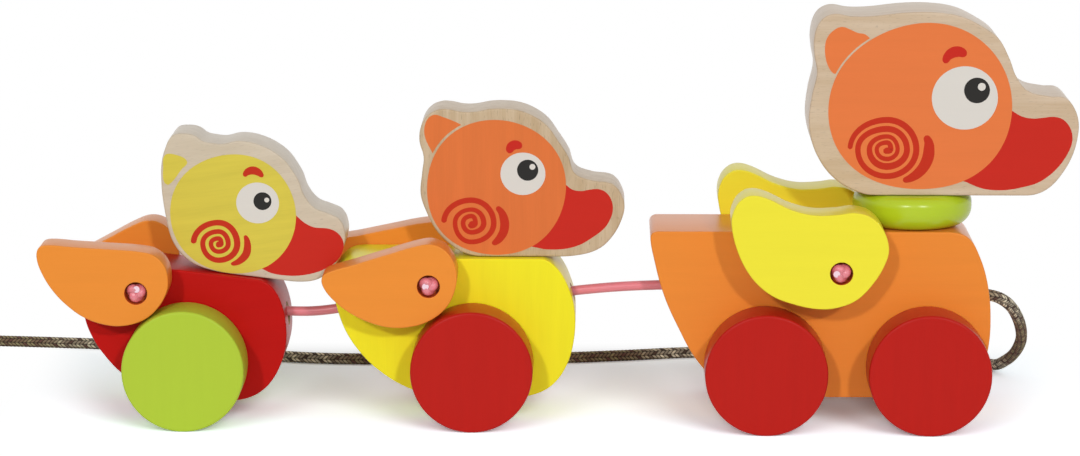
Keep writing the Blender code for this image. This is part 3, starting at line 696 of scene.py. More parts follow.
def bare_beech(name, pale, dark, turn, flecks=1.0):
    """Sanded beech: slow bands of tone, fine fibres and short dark flecks along the grain."""
    material, tree, shader = new_material(name)
    tone = grain(tree, TONE_LENGTH, TONE_WIDTH, turn, 3.0)
    fibres = grain(tree, FIBRE_LENGTH, FIBRE_WIDTH, turn)
    mixed = add(tree, MATH, [fibres, 0.45, tone], operation="MULTIPLY_ADD")
    share = add(tree, RANGE, {"Value": mixed, "From Min": 0.48, "From Max": 0.98})
    wood = add(tree, MIX, {MIX_FACTOR: share, MIX_A: linear_colour(dark), MIX_B: linear_colour(pale)},
               data_type="RGBA").outputs[MIX_RESULT]
    specks = grain(tree, FLECK_LENGTH, FLECK_WIDTH, turn, 0.0)
    sparse = add(tree, RANGE, {"Value": specks, "From Min": 0.68, "From Max": 0.76, "To Min": 1.0,
                               "To Max": 1 - FLECK_DARKENS * flecks})
    colour = add(tree, HUE_VALUE, {"Color": wood, "Value": sparse})
    bump = add(tree, BUMP, {"Strength": 0.3, "Distance": SANDED_RELIEF * MM, "Height": mixed})
    connect(tree, shader, {**SATIN, "Base Color": colour, "Roughness": 0.4, "Specular IOR Level": 0.2,
                           "Normal": bump})
    return material


print("flecks are drawn", FLECK_LENGTH, "mm long and", FLECK_WIDTH, "mm wide")

# %% [markdown]
# ## The toy's paints and woods
# The light is plain, so the hex codes stay close to the colours of the picture. The grain runs as
# each board was cut. Where a paint is thin, a larger share of the grain shows.

# %% Paints and woods
LEVEL, UPRIGHT, LEANING = 0, 90, 7      # the grain's direction, in degrees
# Sprayed satin enamel gives the eye a strong, even colour from in front and a pale shine at a low
# angle. The thick orange one shines most and the thin red one hardly.
orange_enamel = painted("orange_satin_enamel", "#ED8C35", 0.34, LEVEL, 0.10, 0.85)
sun_enamel = painted("yellow_satin_enamel", "#F6EC26", 0.34, UPRIGHT, 0.14)
brick_enamel = painted("red_satin_enamel", "#BE1410", 0.34, LEANING, 0.14, 0.2)
# The wings are sanded finer, so hardly any grain shows in their enamel.
lemon_enamel = painted("lemon_satin_enamel", "#F2E63A", 0.36, LEVEL, 0.06)
amber_enamel = painted("amber_satin_enamel", "#EE9036", 0.36, LEVEL, 0.08)
# The wheels' enamel is a little duller, and the red one lets some grain through.
wheel_red = painted("wheel_red_enamel", "#BA1C14", 0.42, UPRIGHT, 0.16)
wheel_green = painted("wheel_green_enamel", "#B2CA3B", 0.42, UPRIGHT, 0.06)
# Bare beech gives a soft, warm surface with fine stripes. Each head is cut from another plank: warm
# with level grain, darker with upright grain, and pale.
mother_beech = bare_beech("beech_with_level_grain", "#D5BEA4", "#C7AD8E", LEVEL, 0.6)
middle_beech = bare_beech("beech_with_upright_grain", "#CFB899", "#BA9F7B", UPRIGHT, 0.8)
rear_beech = bare_beech("pale_beech", "#D5C6B0", "#C8B8A0", LEANING, 0.4)
# Drilled wood is darker. The wings' bores get a deep orange brown that is painted shade: the darkness of the
# recess drawn into its colour.
drilled_beech = bare_beech("drilled_beech", "#B99E78", "#94795A", LEVEL)
bore_painted_shade = bare_beech("bore_painted_shade", "#DE6A30", "#BE4A1E", LEVEL)
print("materials so far:", len(bpy.data.materials))

# %% [markdown]
# ## A board with softened edges
# A body, head or wing is one outline sawn from a board, and sanding takes the sharpness off its
# two rims. A cube with a bevel wouldn't hold such an outline, so the surface is made row by row.
# Each row is the whole outline, moved inwards by an inset and placed at a depth: first the middle
# of one side, then the rounded rim, the edge, the other rim and the middle of the other side.

# %% Board surfaces
BOARD_HOLD = 0.35       # handles of this share of a span keep the outlines' curves full
FLAT_INSET = 1.4        # how many roundings inside the outline one more row keeps the flat side flat


def anticlockwise(outline):
    """The outline in anticlockwise order, told by the sign of the area that it encloses."""
    nxt = np.roll(outline, -1, 0)
    area = (outline[:, 0] * nxt[:, 1] - nxt[:, 0] * outline[:, 1]).sum()
    return outline if area > 0 else outline[::-1]


def board_outline(points, low=-np.inf, high=np.inf, count=360):
    """The smooth outline through the points, cut off level where the board is flat."""
    curve = smooth_curve(points, closed=True, hold=BOARD_HOLD)
    curve[:, 1] = np.clip(curve[:, 1], low, high)
    return anticlockwise(evenly(curve, count, closed=True))


def outward(outline):
    """Unit directions square to the outline: its direction along, turned a quarter to the right."""
    along = unit(np.roll(outline, -1, 0) - np.roll(outline, 1, 0))
    return np.stack([along[:, 1], -along[:, 0]], 1)


def rim_rows(outline, near, far, rounding, steps=5):
    """Rows of a board from its near side to its far side, as (outline, depth) pairs.

    On a rounded rim the inset is the rounding times (1 - sin a) and the depth the rounding times
    (1 - cos a).
    """
    out = outward(outline)
    a = np.linspace(0, np.pi / 2, steps + 1)
    inset = rounding * np.concatenate([[FLAT_INSET], 1 - np.sin(a)])
    depth = rounding * np.concatenate([[0], 1 - np.cos(a)])
    rows = [(outline - out * i, near + d) for i, d in zip(inset, depth)]
    return rows + [(outline - out * i, far - d) for i, d in zip(inset[::-1], depth[::-1])]


def board_points(duck, rows):
    """The rows as one grid of places in the whole toy."""
    return np.stack([place(duck, ring[:, 0], depth, ring[:, 1]) for ring, depth in rows])


def plain_board(duck, outline, width, heart, rounding):
    """A board whose two sides close in a pole at the heart, a point that sees the whole outline."""
    rows = rim_rows(outline, -width / 2, width / 2, rounding)
    centre = np.broadcast_to(np.asarray(heart, float), outline.shape)
    middle = (rows[0][0] + centre) / 2
    rows = [(centre, -width / 2), (middle, -width / 2)] + rows + [(middle, width / 2), (centre, width / 2)]
    return board_points(duck, rows)


print("rows of a board:", len(rim_rows(full_turn(8)[:, None] * (1, 2), 0, 1, 0.5)) + 4)

# %% [markdown]
# ## Bodies
# The three bodies are sawn from the thickest boards and enamelled all over. The points of each
# outline were read from the picture and carried back to the board's near side. A body's top is
# level, for the ring or the head to stand on, and so is the mother's underside. The points pass
# close to these lines, and the curve is cut off there, which is simpler than a curve with corners.

# %% Bodies
BODY_ROUNDING = 0.6
BODIES = {
    "mother": [
        (-77.5, 80.5), (-70.0, 80.5), (-40.0, 80.5), (0.0, 80.5), (30.0, 80.5), (43.0, 80.4), (49.8, 77.9),
        (54.2, 70.5), (57.5, 60.0), (59.1, 47.0), (58.4, 32.0), (54.5, 20.0), (47.0, 13.0), (40.0, 11.4),
        (20.0, 11.4), (-20.0, 11.4), (-42.0, 11.4), (-51.0, 15.5), (-58.3, 23.2), (-63.6, 30.5),
        (-68.4, 39.7), (-73.0, 49.5), (-76.2, 58.5), (-78.6, 68.0), (-80.3, 76.5), (-79.8, 79.4)],
    "duckling_2": [
        (-46.0, 43.1), (-30.0, 43.1), (0.0, 43.1), (20.0, 43.1), (29.0, 43.1), (35.6, 38.2), (40.4, 28.5),
        (42.1, 19.8), (41.7, 9.7), (39.2, -0.2), (34.0, -8.6), (26.5, -13.4), (14.0, -15.5), (-2.0, -16.0),
        (-16.0, -14.6), (-28.5, -10.4), (-39.0, -3.7), (-46.3, 3.5), (-52.2, 12.3), (-55.8, 22.0),
        (-57.2, 30.0), (-56.0, 37.4), (-52.0, 41.8)],
    "duckling_1": [
        (-37.0, 37.4), (-25.0, 37.4), (0.0, 37.4), (18.0, 37.4), (26.0, 37.4), (31.8, 34.4), (36.4, 27.2),
        (39.0, 17.6), (39.2, 8.3), (36.6, -1.6), (31.6, -9.0), (24.2, -13.4), (12.0, -15.6), (-3.0, -15.8),
        (-15.0, -13.6), (-26.0, -9.0), (-35.4, -1.0), (-41.0, 6.2), (-44.4, 13.4), (-46.4, 22.0),
        (-46.8, 29.0), (-44.0, 35.0)],
}
BODY_TOP = {"mother": 80.5, "duckling_2": 43.1, "duckling_1": 37.4}
ROUND = -np.inf         # the ducklings' undersides are round, so nothing is cut off
BODY_BOTTOM = {"mother": 11.4, "duckling_2": ROUND, "duckling_1": ROUND}
BODY_WIDTH = {"mother": 43.0, "duckling_2": 34.0, "duckling_1": 34.0}
BODY_HEART = {"mother": (-10.0, 46.0), "duckling_2": (-5.0, 15.0), "duckling_1": (-4.0, 12.0)}
BODY_PAINT = {"mother": orange_enamel, "duckling_2": sun_enamel, "duckling_1": brick_enamel}


def make_board(duck, part, outline, width, heart, rounding, material):
    """A body or head of a duck as a piece."""
    points = plain_board(duck, outline, width, heart, rounding)
    print(f"{duck} {part}:", np.ptp(points.reshape(-1, 3), 0).round(1), "mm")
    return make_piece(f"{duck}_{part}_board", points, grid_faces(*points.shape[:2]), [material], duck,
                      (f"{duck}_{part}",))


bodies = {}
for duck in DUCKS:
    outline = board_outline(BODIES[duck], BODY_BOTTOM[duck], BODY_TOP[duck])
    bodies[duck] = make_board(duck, "body", outline, BODY_WIDTH[duck], BODY_HEART[duck], BODY_ROUNDING,
                              BODY_PAINT[duck])

# %% [markdown]
# ## Heads
# The heads are thinner boards of bare beech. Each is cut level at the chin, where it stands on the
# mother's neck ring or on a duckling's body, and is glued there on a dowel. They are made as the
# bodies are, with rims a little softer, because sanding is all the finish that bare wood gets.

# %% Heads
HEAD_ROUNDING = 0.7
HEADS = {
    "mother": [
        (-16.0, 126.0), (-14.9, 135.8), (-12.9, 145.3), (-14.0, 152.5), (-14.3, 158.5), (-13.1, 164.1),
        (-10.4, 167.9), (-5.8, 169.6), (0.8, 168.6), (9.5, 168.7), (22.4, 170.1), (34.2, 170.3),
        (45.0, 168.7), (53.6, 164.7), (60.7, 159.5), (65.3, 151.2), (68.0, 144.3), (72.9, 138.2),
        (82.1, 135.9), (87.9, 135.4), (91.6, 131.8), (93.8, 125.6), (93.5, 118.6), (91.4, 111.0),
        (87.4, 103.8), (82.5, 98.3), (76.6, 95.4), (69.0, 95.0), (60.0, 95.0), (28.4, 95.0), (14.0, 95.0),
        (6.5, 95.6), (-1.8, 99.3), (-7.9, 104.5), (-12.6, 111.7), (-15.1, 118.7)],
    "duckling_2": [
        (-21.4, 69.5), (-20.7, 78.6), (-20.1, 84.7), (-21.8, 91.6), (-21.0, 97.8), (-18.0, 102.3),
        (-13.6, 104.4), (-9.4, 104.4), (-4.0, 103.4), (1.0, 103.5), (7.0, 104.6), (12.4, 104.8),
        (18.8, 104.1), (24.7, 101.9), (30.5, 97.8), (34.8, 91.9), (39.2, 85.0), (41.9, 78.1), (48.7, 75.2),
        (55.0, 74.4), (57.9, 73.3), (60.5, 70.2), (62.3, 64.5), (60.6, 57.6), (57.0, 51.4), (52.2, 46.9),
        (45.6, 44.4), (35.4, 43.3), (14.4, 43.3), (4.0, 43.3), (-3.0, 44.6), (-9.0, 48.1), (-14.8, 53.9),
        (-19.0, 61.8)],
    "duckling_1": [
        (-18.1, 66.5), (-19.2, 72.5), (-19.9, 78.9), (-19.3, 85.5), (-16.8, 91.9), (-11.7, 93.5),
        (-7.6, 93.1), (-4.2, 91.3), (-0.5, 90.9), (4.0, 91.1), (9.4, 93.0), (14.5, 93.3), (19.3, 92.6),
        (24.7, 90.8), (30.1, 87.6), (34.0, 83.5), (37.0, 79.4), (39.8, 74.0), (44.4, 69.5), (49.7, 68.0),
        (53.7, 66.9), (55.3, 65.9), (57.3, 63.2), (58.6, 58.1), (57.3, 51.0), (54.0, 44.4), (49.0, 39.8),
        (41.5, 37.9), (29.7, 37.7), (13.0, 37.7), (4.8, 38.3), (-2.1, 40.0), (-7.9, 43.6), (-12.5, 49.3),
        (-15.7, 57.9)],
}
HEAD_BOTTOM = {"mother": 95.0, "duckling_2": 43.4, "duckling_1": 37.7}
HEAD_WIDTH = {"mother": 35.0, "duckling_2": 26.0, "duckling_1": 26.0}
HEAD_HEART = {"mother": (30.0, 130.0), "duckling_2": (12.0, 71.0), "duckling_1": (13.0, 62.0)}
HEAD_WOOD = {"mother": mother_beech, "duckling_2": middle_beech, "duckling_1": rear_beech}

for duck in DUCKS:
    outline = board_outline(HEADS[duck], HEAD_BOTTOM[duck])
    make_board(duck, "head", outline, HEAD_WIDTH[duck], HEAD_HEART[duck], HEAD_ROUNDING, HEAD_WOOD[duck])

# %% [markdown]
# ## Holes for the cords
# The link cords sit in holes that open like a funnel, so that the elastic can swing sideways, and
# the pull cord comes out of a plain one. A hole is a shape off the lathe, taken out of the board
# with a Boolean, and its wall gets the bare wood's material because it is drilled after painting.

# %% Drilled holes
CORD_HOLE_RADIUS, PULL_HOLE_RADIUS = 2.6, 3.2
FLARE = 0.72            # how fast a link's hole widens
FUNNEL_DEEP, FUNNEL_OUT = -4.0, 8.5
FUNNEL = [(0, FUNNEL_DEEP), (CORD_HOLE_RADIUS, FUNNEL_DEEP), (CORD_HOLE_RADIUS, 0.0),
          (CORD_HOLE_RADIUS + FLARE * FUNNEL_OUT, FUNNEL_OUT), (0, FUNNEL_OUT)]
PULL_HOLE_DEEP, PULL_HOLE_OUT = -18.0, 5.0
PULL_HOLE = [(0, PULL_HOLE_DEEP), (PULL_HOLE_RADIUS, PULL_HOLE_DEEP), (PULL_HOLE_RADIUS, PULL_HOLE_OUT),
             (0, PULL_HOLE_OUT)]
# In side view, where the pull cord leaves the mother's chest and where the links' holes begin to widen.
CHEST = (59.0, 50.4)
LINK_ENDS = {("mother", "-x"): (-71.6, 54.4), ("duckling_2", "x"): (38.0, 26.4),
             ("duckling_2", "-x"): (-53.2, 19.6), ("duckling_1", "x"): (34.4, 22.5)}
HOLE_SIDES = 40


def lathe(profile, sides, axis):
    """A profile of (radius, height) spun about an axis: each point goes round in a circle.

    The axis is x, -x, y, -y or z, the way that the height grows.
    """
    p = np.asarray(profile, float)
    a = p[:, :1] * np.cos(full_turn(sides))
    b = p[:, :1] * np.sin(full_turn(sides))
    h = np.broadcast_to(p[:, 1:], a.shape) * (-1 if axis.startswith("-") else 1)
    return np.stack({"x": (h, a, b), "y": (a, h, b), "z": (a, b, h)}[axis[-1]], -1)


def drill(duck, profile, pivot, axis):
    """Take a turned shape out of a duck's body and leave bare wood on the hole's wall."""
    x, y, z = np.moveaxis(lathe(profile, HOLE_SIDES, axis), -1, 0)
    bit = new_mesh("drill", place(duck, pivot[0] + x, y, pivot[1] + z), grid_faces(*x.shape))
    bit.materials.append(drilled_beech)
    cutter = new_object("drill", bit)
    target = bodies[duck]
    cut = target.modifiers.new("hole", "BOOLEAN")
    cut.operation = "DIFFERENCE"
    cut.solver = "EXACT"
    cut.material_mode = "TRANSFER"
    cut.object = cutter
    bpy.context.view_layer.update()
    drilled = bpy.data.meshes.new_from_object(target.evaluated_get(bpy.context.evaluated_depsgraph_get()))
    target.modifiers.clear()
    target.data = drilled
    shade(drilled)
    bpy.data.objects.remove(cutter)


for (duck, axis), pivot in LINK_ENDS.items():
    drill(duck, FUNNEL, pivot, axis)
drill("mother", PULL_HOLE, CHEST, "x")
print("mother body faces after drilling:", len(bodies["mother"].data.polygons))

# %% [markdown]
# ## The shape of the wings
# The six wings are two shapes, a large one for the mother and a small one for the ducklings. Each is
# drawn once, with its pivot at zero, and turned to where it rests in the picture.

# %% Wing shapes
LARGE_WING = [
    (-44.6, 20.0), (-43.2, 27.0), (-39.3, 31.1), (-34.9, 31.9), (-29.5, 30.4), (-20.7, 26.2), (-11.4, 23.9),
    (-2.2, 24.1), (5.0, 24.9), (11.5, 23.2), (16.6, 18.0), (19.0, 10.4), (17.6, 4.0), (13.1, -3.8),
    (6.4, -10.8), (-1.7, -14.1), (-9.7, -14.6), (-19.5, -12.6), (-28.4, -9.0), (-36.0, -2.2), (-41.7, 8.0)]
SMALL_WING = [
    (-40.7, 12.8), (-40.1, 17.0), (-37.0, 18.4), (-26.0, 18.1), (-12.0, 17.8), (0.5, 17.4), (6.8, 16.1),
    (11.3, 12.0), (13.0, 6.2), (12.4, 0.5), (9.0, -5.9), (3.7, -10.8), (-3.6, -13.5), (-11.2, -13.7),
    (-20.0, -11.3), (-27.1, -6.9), (-33.5, -0.8), (-38.3, 6.3)]
# Each wing's pivot in its duck's side view and its turn in degrees.
WINGS = {
    ("mother", "right"): ((-3.3, 66.9), 0.0), ("mother", "left"): ((-7.0, 67.1), 0.0),
    ("duckling_2", "right"): ((-17.5, 34.6), 18.4), ("duckling_2", "left"): ((-19.1, 34.8), 13.0),
    ("duckling_1", "right"): ((-22.8, 28.9), 4.7), ("duckling_1", "left"): ((-21.5, 33.0), 36.6),
}
print("outline points:", len(LARGE_WING), "of a large wing and", len(SMALL_WING), "of a small one")

# %% [markdown]
# ## Wing boards
# A wing has a hole for the elastic and a wider recess for its knot, so its surface is a ring
# without poles: from the recess over the outer side, round the rim and the inner side, and back
# through the hole. That way the hole needs no Boolean.

# %% Wing boards
WING_WIDTH = {"mother": 20.0, "duckling_2": 16.5, "duckling_1": 16.5}
SIDE_GAP = 0.7          # between a body and its wings or wheels
RECESS_RADIUS, RECESS_DEPTH, RECESS_EDGE = 4.65, 6.0, 0.35
WING_ROUNDING = 0.5
WING_POINTS, MOUTH_STEPS = 240, 3
WING_PAINT = {"mother": lemon_enamel, "duckling_2": amber_enamel, "duckling_1": amber_enamel}


def wing_rows(outline, pivot, inner, outer, side):
    """Rows of a wing and how many of them are painted.

    Its circles keep the angles of the outline's points seen from the pivot. The recess's mouth is
    rounded as the rim is.
    """
    spoke = unit(outline - pivot)
    a = np.linspace(0, np.pi / 2, MOUTH_STEPS + 1)
    mouth = [(RECESS_RADIUS + RECESS_EDGE * (1 - np.sin(t)), outer - RECESS_EDGE * (1 - np.cos(t)))
             for t in a]
    drilled = [(RECESS_RADIUS, outer - RECESS_DEPTH), (CORD_HOLE_RADIUS, outer - RECESS_DEPTH),
               (CORD_HOLE_RADIUS, inner)]
    circles = [(RECESS_RADIUS + 2 * RECESS_EDGE, outer)] + mouth + drilled
    rows = rim_rows(outline, inner, outer, WING_ROUNDING)
    rows += [(pivot + spoke * radius, depth) for radius, depth in circles]
    return [(ring, side * depth) for ring, depth in rows], len(rows) - len(drilled)


for (duck, hand), (pivot, angle) in WINGS.items():
    shape = LARGE_WING if duck == "mother" else SMALL_WING
    c, s = np.cos(np.radians(angle)), np.sin(np.radians(angle))
    pivot = np.array(pivot)
    outline = board_outline(np.array(shape) @ np.array([[c, s], [-s, c]]) + pivot, count=WING_POINTS)
    inner = BODY_WIDTH[duck] / 2 + SIDE_GAP
    rows, painted_rows = wing_rows(outline, pivot, inner, inner + WING_WIDTH[duck], OUTWARDS[hand])
    points = board_points(duck, rows)
    row = np.repeat(np.arange(len(rows)), len(outline))
    # The recess's wall and floor and the hole through the wing take the painted shade of the recess in place
    # of the wing's enamel.
    bore_shade_faces = (row >= painted_rows - 1) & (row < len(rows) - 1)
    make_piece(f"{duck}_{hand}_wing_board", points, grid_faces(*points.shape[:2], True),
               [WING_PAINT[duck], bore_painted_shade], f"{duck}_{hand}_wing",
               (f"{duck}_wing_{hand}",), indices=bore_shade_faces)
    print(f"{duck}'s {hand} wing:", np.ptp(points.reshape(-1, 3), 0).round(1), "mm")

# %% [markdown]
# ## Wheels
# The wheels come off a lathe, so each is a profile carried round an axis: a disc with softened rims
# and a blind hole on its inner side, where it is glued on the axle. A cylinder with a bevel would
# do for the rims, but its hole would need a Boolean.

# %% Wheels
WHEEL_RADIUS, WHEEL_WIDTH, WHEEL_EDGE = 25.0, 22.0, 1.0
AXLE_HOLE_RADIUS, AXLE_HOLE_DEPTH = 3.3, 14.3
KEEP_FLAT = 0.5     # a row so close to a rounded edge keeps the flat beside it flat
WHEEL_SIDES = 120
# Each axle's duck and its place in that duck's side view.
AXLES = {"mother_front": ("mother", 33.2, 25.0), "mother_rear": ("mother", -33.2, 25.0),
         "duckling_2": ("duckling_2", 0.0, 0.0), "duckling_1": ("duckling_1", 0.0, 0.0)}


def quarter(centre, radius, start, end, steps=6):
    """Points on a circular arc of a profile, between two angles in degrees."""
    a = np.radians(np.linspace(start, end, steps + 1))
    return [(centre[0] + radius * np.cos(t), centre[1] + radius * np.sin(t)) for t in a]


flat = WHEEL_RADIUS - WHEEL_EDGE
wheel_profile = [(0, AXLE_HOLE_DEPTH), (AXLE_HOLE_RADIUS, AXLE_HOLE_DEPTH), (AXLE_HOLE_RADIUS, 0),
                 (flat - KEEP_FLAT, 0), *quarter((flat, WHEEL_EDGE), WHEEL_EDGE, -90, 0),
                 *quarter((flat, WHEEL_WIDTH - WHEEL_EDGE), WHEEL_EDGE, 0, 90),
                 (flat - KEEP_FLAT, WHEEL_WIDTH), (WHEEL_RADIUS / 2, WHEEL_WIDTH), (0, WHEEL_WIDTH)]
for axle, (duck, x, z) in AXLES.items():
    paint, slot = (wheel_green, "green_wheel") if duck == "duckling_1" else (wheel_red, "red_wheel")
    for hand, side in OUTWARDS.items():
        points = lathe(wheel_profile, WHEEL_SIDES, "y" if side > 0 else "-y")
        points = points + place(duck, x, side * (BODY_WIDTH[duck] / 2 + SIDE_GAP), z)
        make_piece(f"{axle}_{hand}_wheel_turned", points, grid_faces(*points.shape[:2]), [paint],
                   f"{axle}_wheels", (f"{axle}_wheel_{hand}",))
print("wheels:", 2 * len(AXLES))

# %% [markdown]
# ## Neck ring
# The ring under the mother's head is turned too, with full round edges, the lower one softer than
# the upper. Its enamel is thicker and smoother than the boards' and shows a small soft reflection
# of each lamp. Broad ripples in it keep the reflections from looking like those of plastic.

# %% Neck ring
RING_RADIUS, RING_HEIGHT, RING_BORE = 24.5, 14.2, 5.3
RING_EDGE, RING_SHOULDER = 7.6, 4.6     # how round the ring's lower and upper edges are
RING_PLACE = (27.8, 0.0, 80.65)
RING_SIDES, RING_STEPS = 144, 12
RIPPLE_LENGTH, RIPPLE_WIDTH, RIPPLE_HEIGHT = 30.0, 5.0, 0.2

low, high = RING_RADIUS - RING_EDGE, RING_RADIUS - RING_SHOULDER
ring_profile = [(RING_BORE, 0), (low - 2 * KEEP_FLAT, 0),
                *quarter((low, RING_EDGE), RING_EDGE, -90, 0, RING_STEPS),
                *quarter((high, RING_HEIGHT - RING_SHOULDER), RING_SHOULDER, 0, 90, RING_STEPS),
                (high - 2 * KEEP_FLAT, RING_HEIGHT), (RING_BORE, RING_HEIGHT)]
# Smooth enamel without a satin coat gives clear, small highlights.
gloss_green, tree, shader = new_material("green_smooth_enamel")
ripple = add(tree, BUMP, {"Strength": 0.3, "Distance": RIPPLE_HEIGHT * MM,
                          "Height": grain(tree, RIPPLE_LENGTH, RIPPLE_WIDTH, LEVEL)})
connect(tree, shader, {"Base Color": linear_colour("#B4CC20"), "Roughness": 0.27, "Specular IOR Level": 0.4,
                       "Normal": ripple})
points = lathe(ring_profile, RING_SIDES, "z") + place("mother", *RING_PLACE)
make_piece("mother_neck_ring_turned", points, grid_faces(*points.shape[:2], True), [gloss_green], "mother",
           ("mother_neck_ring",))
print("neck ring:", np.ptp(points.reshape(-1, 3), 0).round(1), "mm")

# %% [markdown]
# ## Shapes of ink
# The faces are screen printed on both sides of each head: a large disc, a tuft behind it, a beak
# in front, an eye, a brow and a swirl on the cheek. Each colour is a film of ink some hundredths
# of a millimetre thick that lies on the one printed before. Films give a crisp edge at any
# distance, which a texture painted on the board wouldn't. Every shape is two rows of points in
# side view: a rim and a middle, or the two edges of a strip.

# %% Ink shapes
BULGE_WAVES = 5         # how many waves round the disc join its bulges


def disc_rows(centre, across, up, count):
    """A round or oval film. Its rim is the cosine and sine of the angle times its half sizes."""
    a = full_turn(count)
    rim = np.stack([centre[0] + across * np.cos(a), centre[1] + up * np.sin(a)], 1)
    return np.stack([rim, np.broadcast_to(np.asarray(centre, float), rim.shape)])


def bulged_edge(disc, angle, further=0.0):
    """The edge of a printed face at some angles: an oval moved outwards by its bulge and a little further.

    The bulges stand at equal steps round the oval, and the slow waves of their Fourier series join
    them.
    """
    (cx, cz), across, up, tilt, bulges = disc
    waves = np.fft.rfft(bulges)[:BULGE_WAVES + 1] / len(bulges)
    turns = np.exp(1j * np.arange(1, BULGE_WAVES + 1)[:, None] * angle)
    out = waves[0].real + 2 * (waves[1:, None] * turns).real.sum(0) + further
    x, z = across * np.cos(angle), up * np.sin(angle)
    grow = 1 + out / np.hypot(x, z)
    c, s = np.cos(np.radians(tilt)), np.sin(np.radians(tilt))
    return np.stack([cx + (x * c - z * s) * grow, cz + (x * s + z * c) * grow], 1)


def face_rows(disc, count=180):
    """The large film of a face: its bulged edge and its middle."""
    rim = bulged_edge(disc, full_turn(count))
    return np.stack([rim, np.broadcast_to(np.asarray(disc[0], float), rim.shape)])


def patch_rows(points, heart, count=200):
    """A film with a free outline: its rim and the heart that the rim is seen from."""
    rim = evenly(smooth_curve(points, closed=True, hold=BOARD_HOLD), count, closed=True)
    return np.stack([rim, np.broadcast_to(np.asarray(heart, float), rim.shape)])


def tuft_rows(outer, disc, gap, count=40):
    """A tuft: its own curve on the outside, and inside a curve that keeps a gap to the disc."""
    (cx, cz), across, up = disc[:3]
    first, last = (np.arctan2((z - cz) / up, (x - cx) / across) for x, z in (outer[0], outer[-1]))
    inner = bulged_edge(disc, np.linspace(first, last, count), gap)
    return np.stack([evenly(smooth_curve([inner[0], *outer[1:-1], inner[-1]]), count), inner])


print("points of a small disc:", disc_rows((0, 0), 1, 1, 32).shape[:2])

# %% [markdown]
# ## Brush strokes
# Swirl, crescent and brow look like strokes of a round brush. A line with a half width at each of
# its points gives such a stroke, and both of its ends are rounded by formula. A curve object would
# need a taper object for each of them.

# %% Strokes
SPIRAL_HOLD = 0.39      # handles of this share of a span make a spiral out of quarter turns


def stroke_rows(line, count):
    """A brush stroke along a line of (x, z, half width): the line moved to either side, with round ends.

    Near an end the half width is that of a circle: half times the root of 1 - (1 - run / half) squared.
    """
    line, half = np.split(evenly(line, count), [2], axis=1)
    run = np.linspace(0, 1, count)[:, None] * spans(line).sum()
    near_end = np.minimum(run, run[-1] - run)
    half = half * np.sqrt(np.clip(1 - np.clip(1 - near_end / half, 0, 1) ** 2, 0, 1))
    square = unit(np.gradient(line, axis=0))[:, ::-1] * (-1, 1) * half
    return np.stack([line + square, line - square])


def swirl_rows(centre, start, radii, half, steps=20, count=300):
    """A spiral brush stroke, given by its radius and its half width at each quarter turn."""
    radii, half = np.append(radii, 2 * radii[-1] - radii[-2]), np.append(half, half[-1])
    angle = np.radians(start) + np.pi / 2 * np.arange(len(radii))
    line = np.stack([centre[0] + radii * np.cos(angle), centre[1] + radii * np.sin(angle), half], 1)
    return stroke_rows(smooth_curve(line, steps=steps, hold=SPIRAL_HOLD)[:-steps], count)


print("points of a straight stroke:", stroke_rows(np.array([(0, 0, 1), (9, 0, 1)]), 20).shape[:2])

# %% [markdown]
# ## Printing
# A head is printed on both sides from one drawing, so the far side's face is the mirror image of
# the near one. All the films of a head are one piece, because they move as one with the board and
# are far too thin to be pieces of their own.

# %% Printing
FILM = 0.04             # mm of one layer of ink


def print_films(duck, name, shapes, inks):
    """Lay all the films of one head on both of its sides, as one piece.

    Each shape is its layer, its ink, its rows, and whether the rows close round. Its faces are
    turned to look away from the board.
    """
    all_points, all_faces, all_inks, count = [], [], [], 0
    for side in (-1, 1):
        for layer, ink, rows, closed in shapes:
            depth = side * (HEAD_WIDTH[duck] / 2 + layer * FILM)
            points = place(duck, rows[..., 0], depth, rows[..., 1]).reshape(-1, 3)
            faces = grid_faces(*rows.shape[:2], False, closed)
            corner = points[faces[len(faces) // 2]]
            facing = np.cross(corner[1] - corner[0], corner[2] - corner[0])[1]
            all_faces.append((faces if facing * side > 0 else faces[:, ::-1]) + count)
            all_points.append(points)
            all_inks.append(np.full(len(faces), inks.index(ink)))
            count += len(points)
    return make_piece(name, np.vstack(all_points), np.vstack(all_faces), inks, duck,
                      indices=np.concatenate(all_inks), closed=False)


print("a film is", FILM, "mm thick")

# %% [markdown]
# ## Inks
# Ink is thinner than enamel and a little duller. The yellow lets the most grain through, and the
# red, white and black hardly any. The two oranges are one ink on two woods.

# %% Inks
orange_ink = painted("orange_ink_level_grain", "#E77B42", 0.5, LEVEL, 0.10)
orange_ink_upright = painted("orange_ink_upright_grain", "#E0763C", 0.5, UPRIGHT, 0.22)
yellow_ink = painted("yellow_ink", "#D9C74C", 0.5, LEANING, 0.30)
red_ink = painted("red_ink", "#C8291D", 0.5, LEVEL, 0.08)
swirl_ink = painted("swirl_red_ink", "#C4301A", 0.5, LEVEL, 0.08)
white_ink = painted("white_ink", "#DCD6CE", 0.5, LEVEL, 0.04)
black_ink = painted("black_ink", "#2B2927", 0.4, LEVEL, 0.04)
print("materials with the inks:", len(bpy.data.materials))

# %% [markdown]
# ## The mother's face
# A face isn't drawn with compasses: its disc bulges a little at the cheek and the crown, and the
# swirl's line swells and thins as a brush's does. So a disc has sixteen small bulges, a swirl a
# radius and a half width at every quarter turn, and beak, brow and crescent their points.

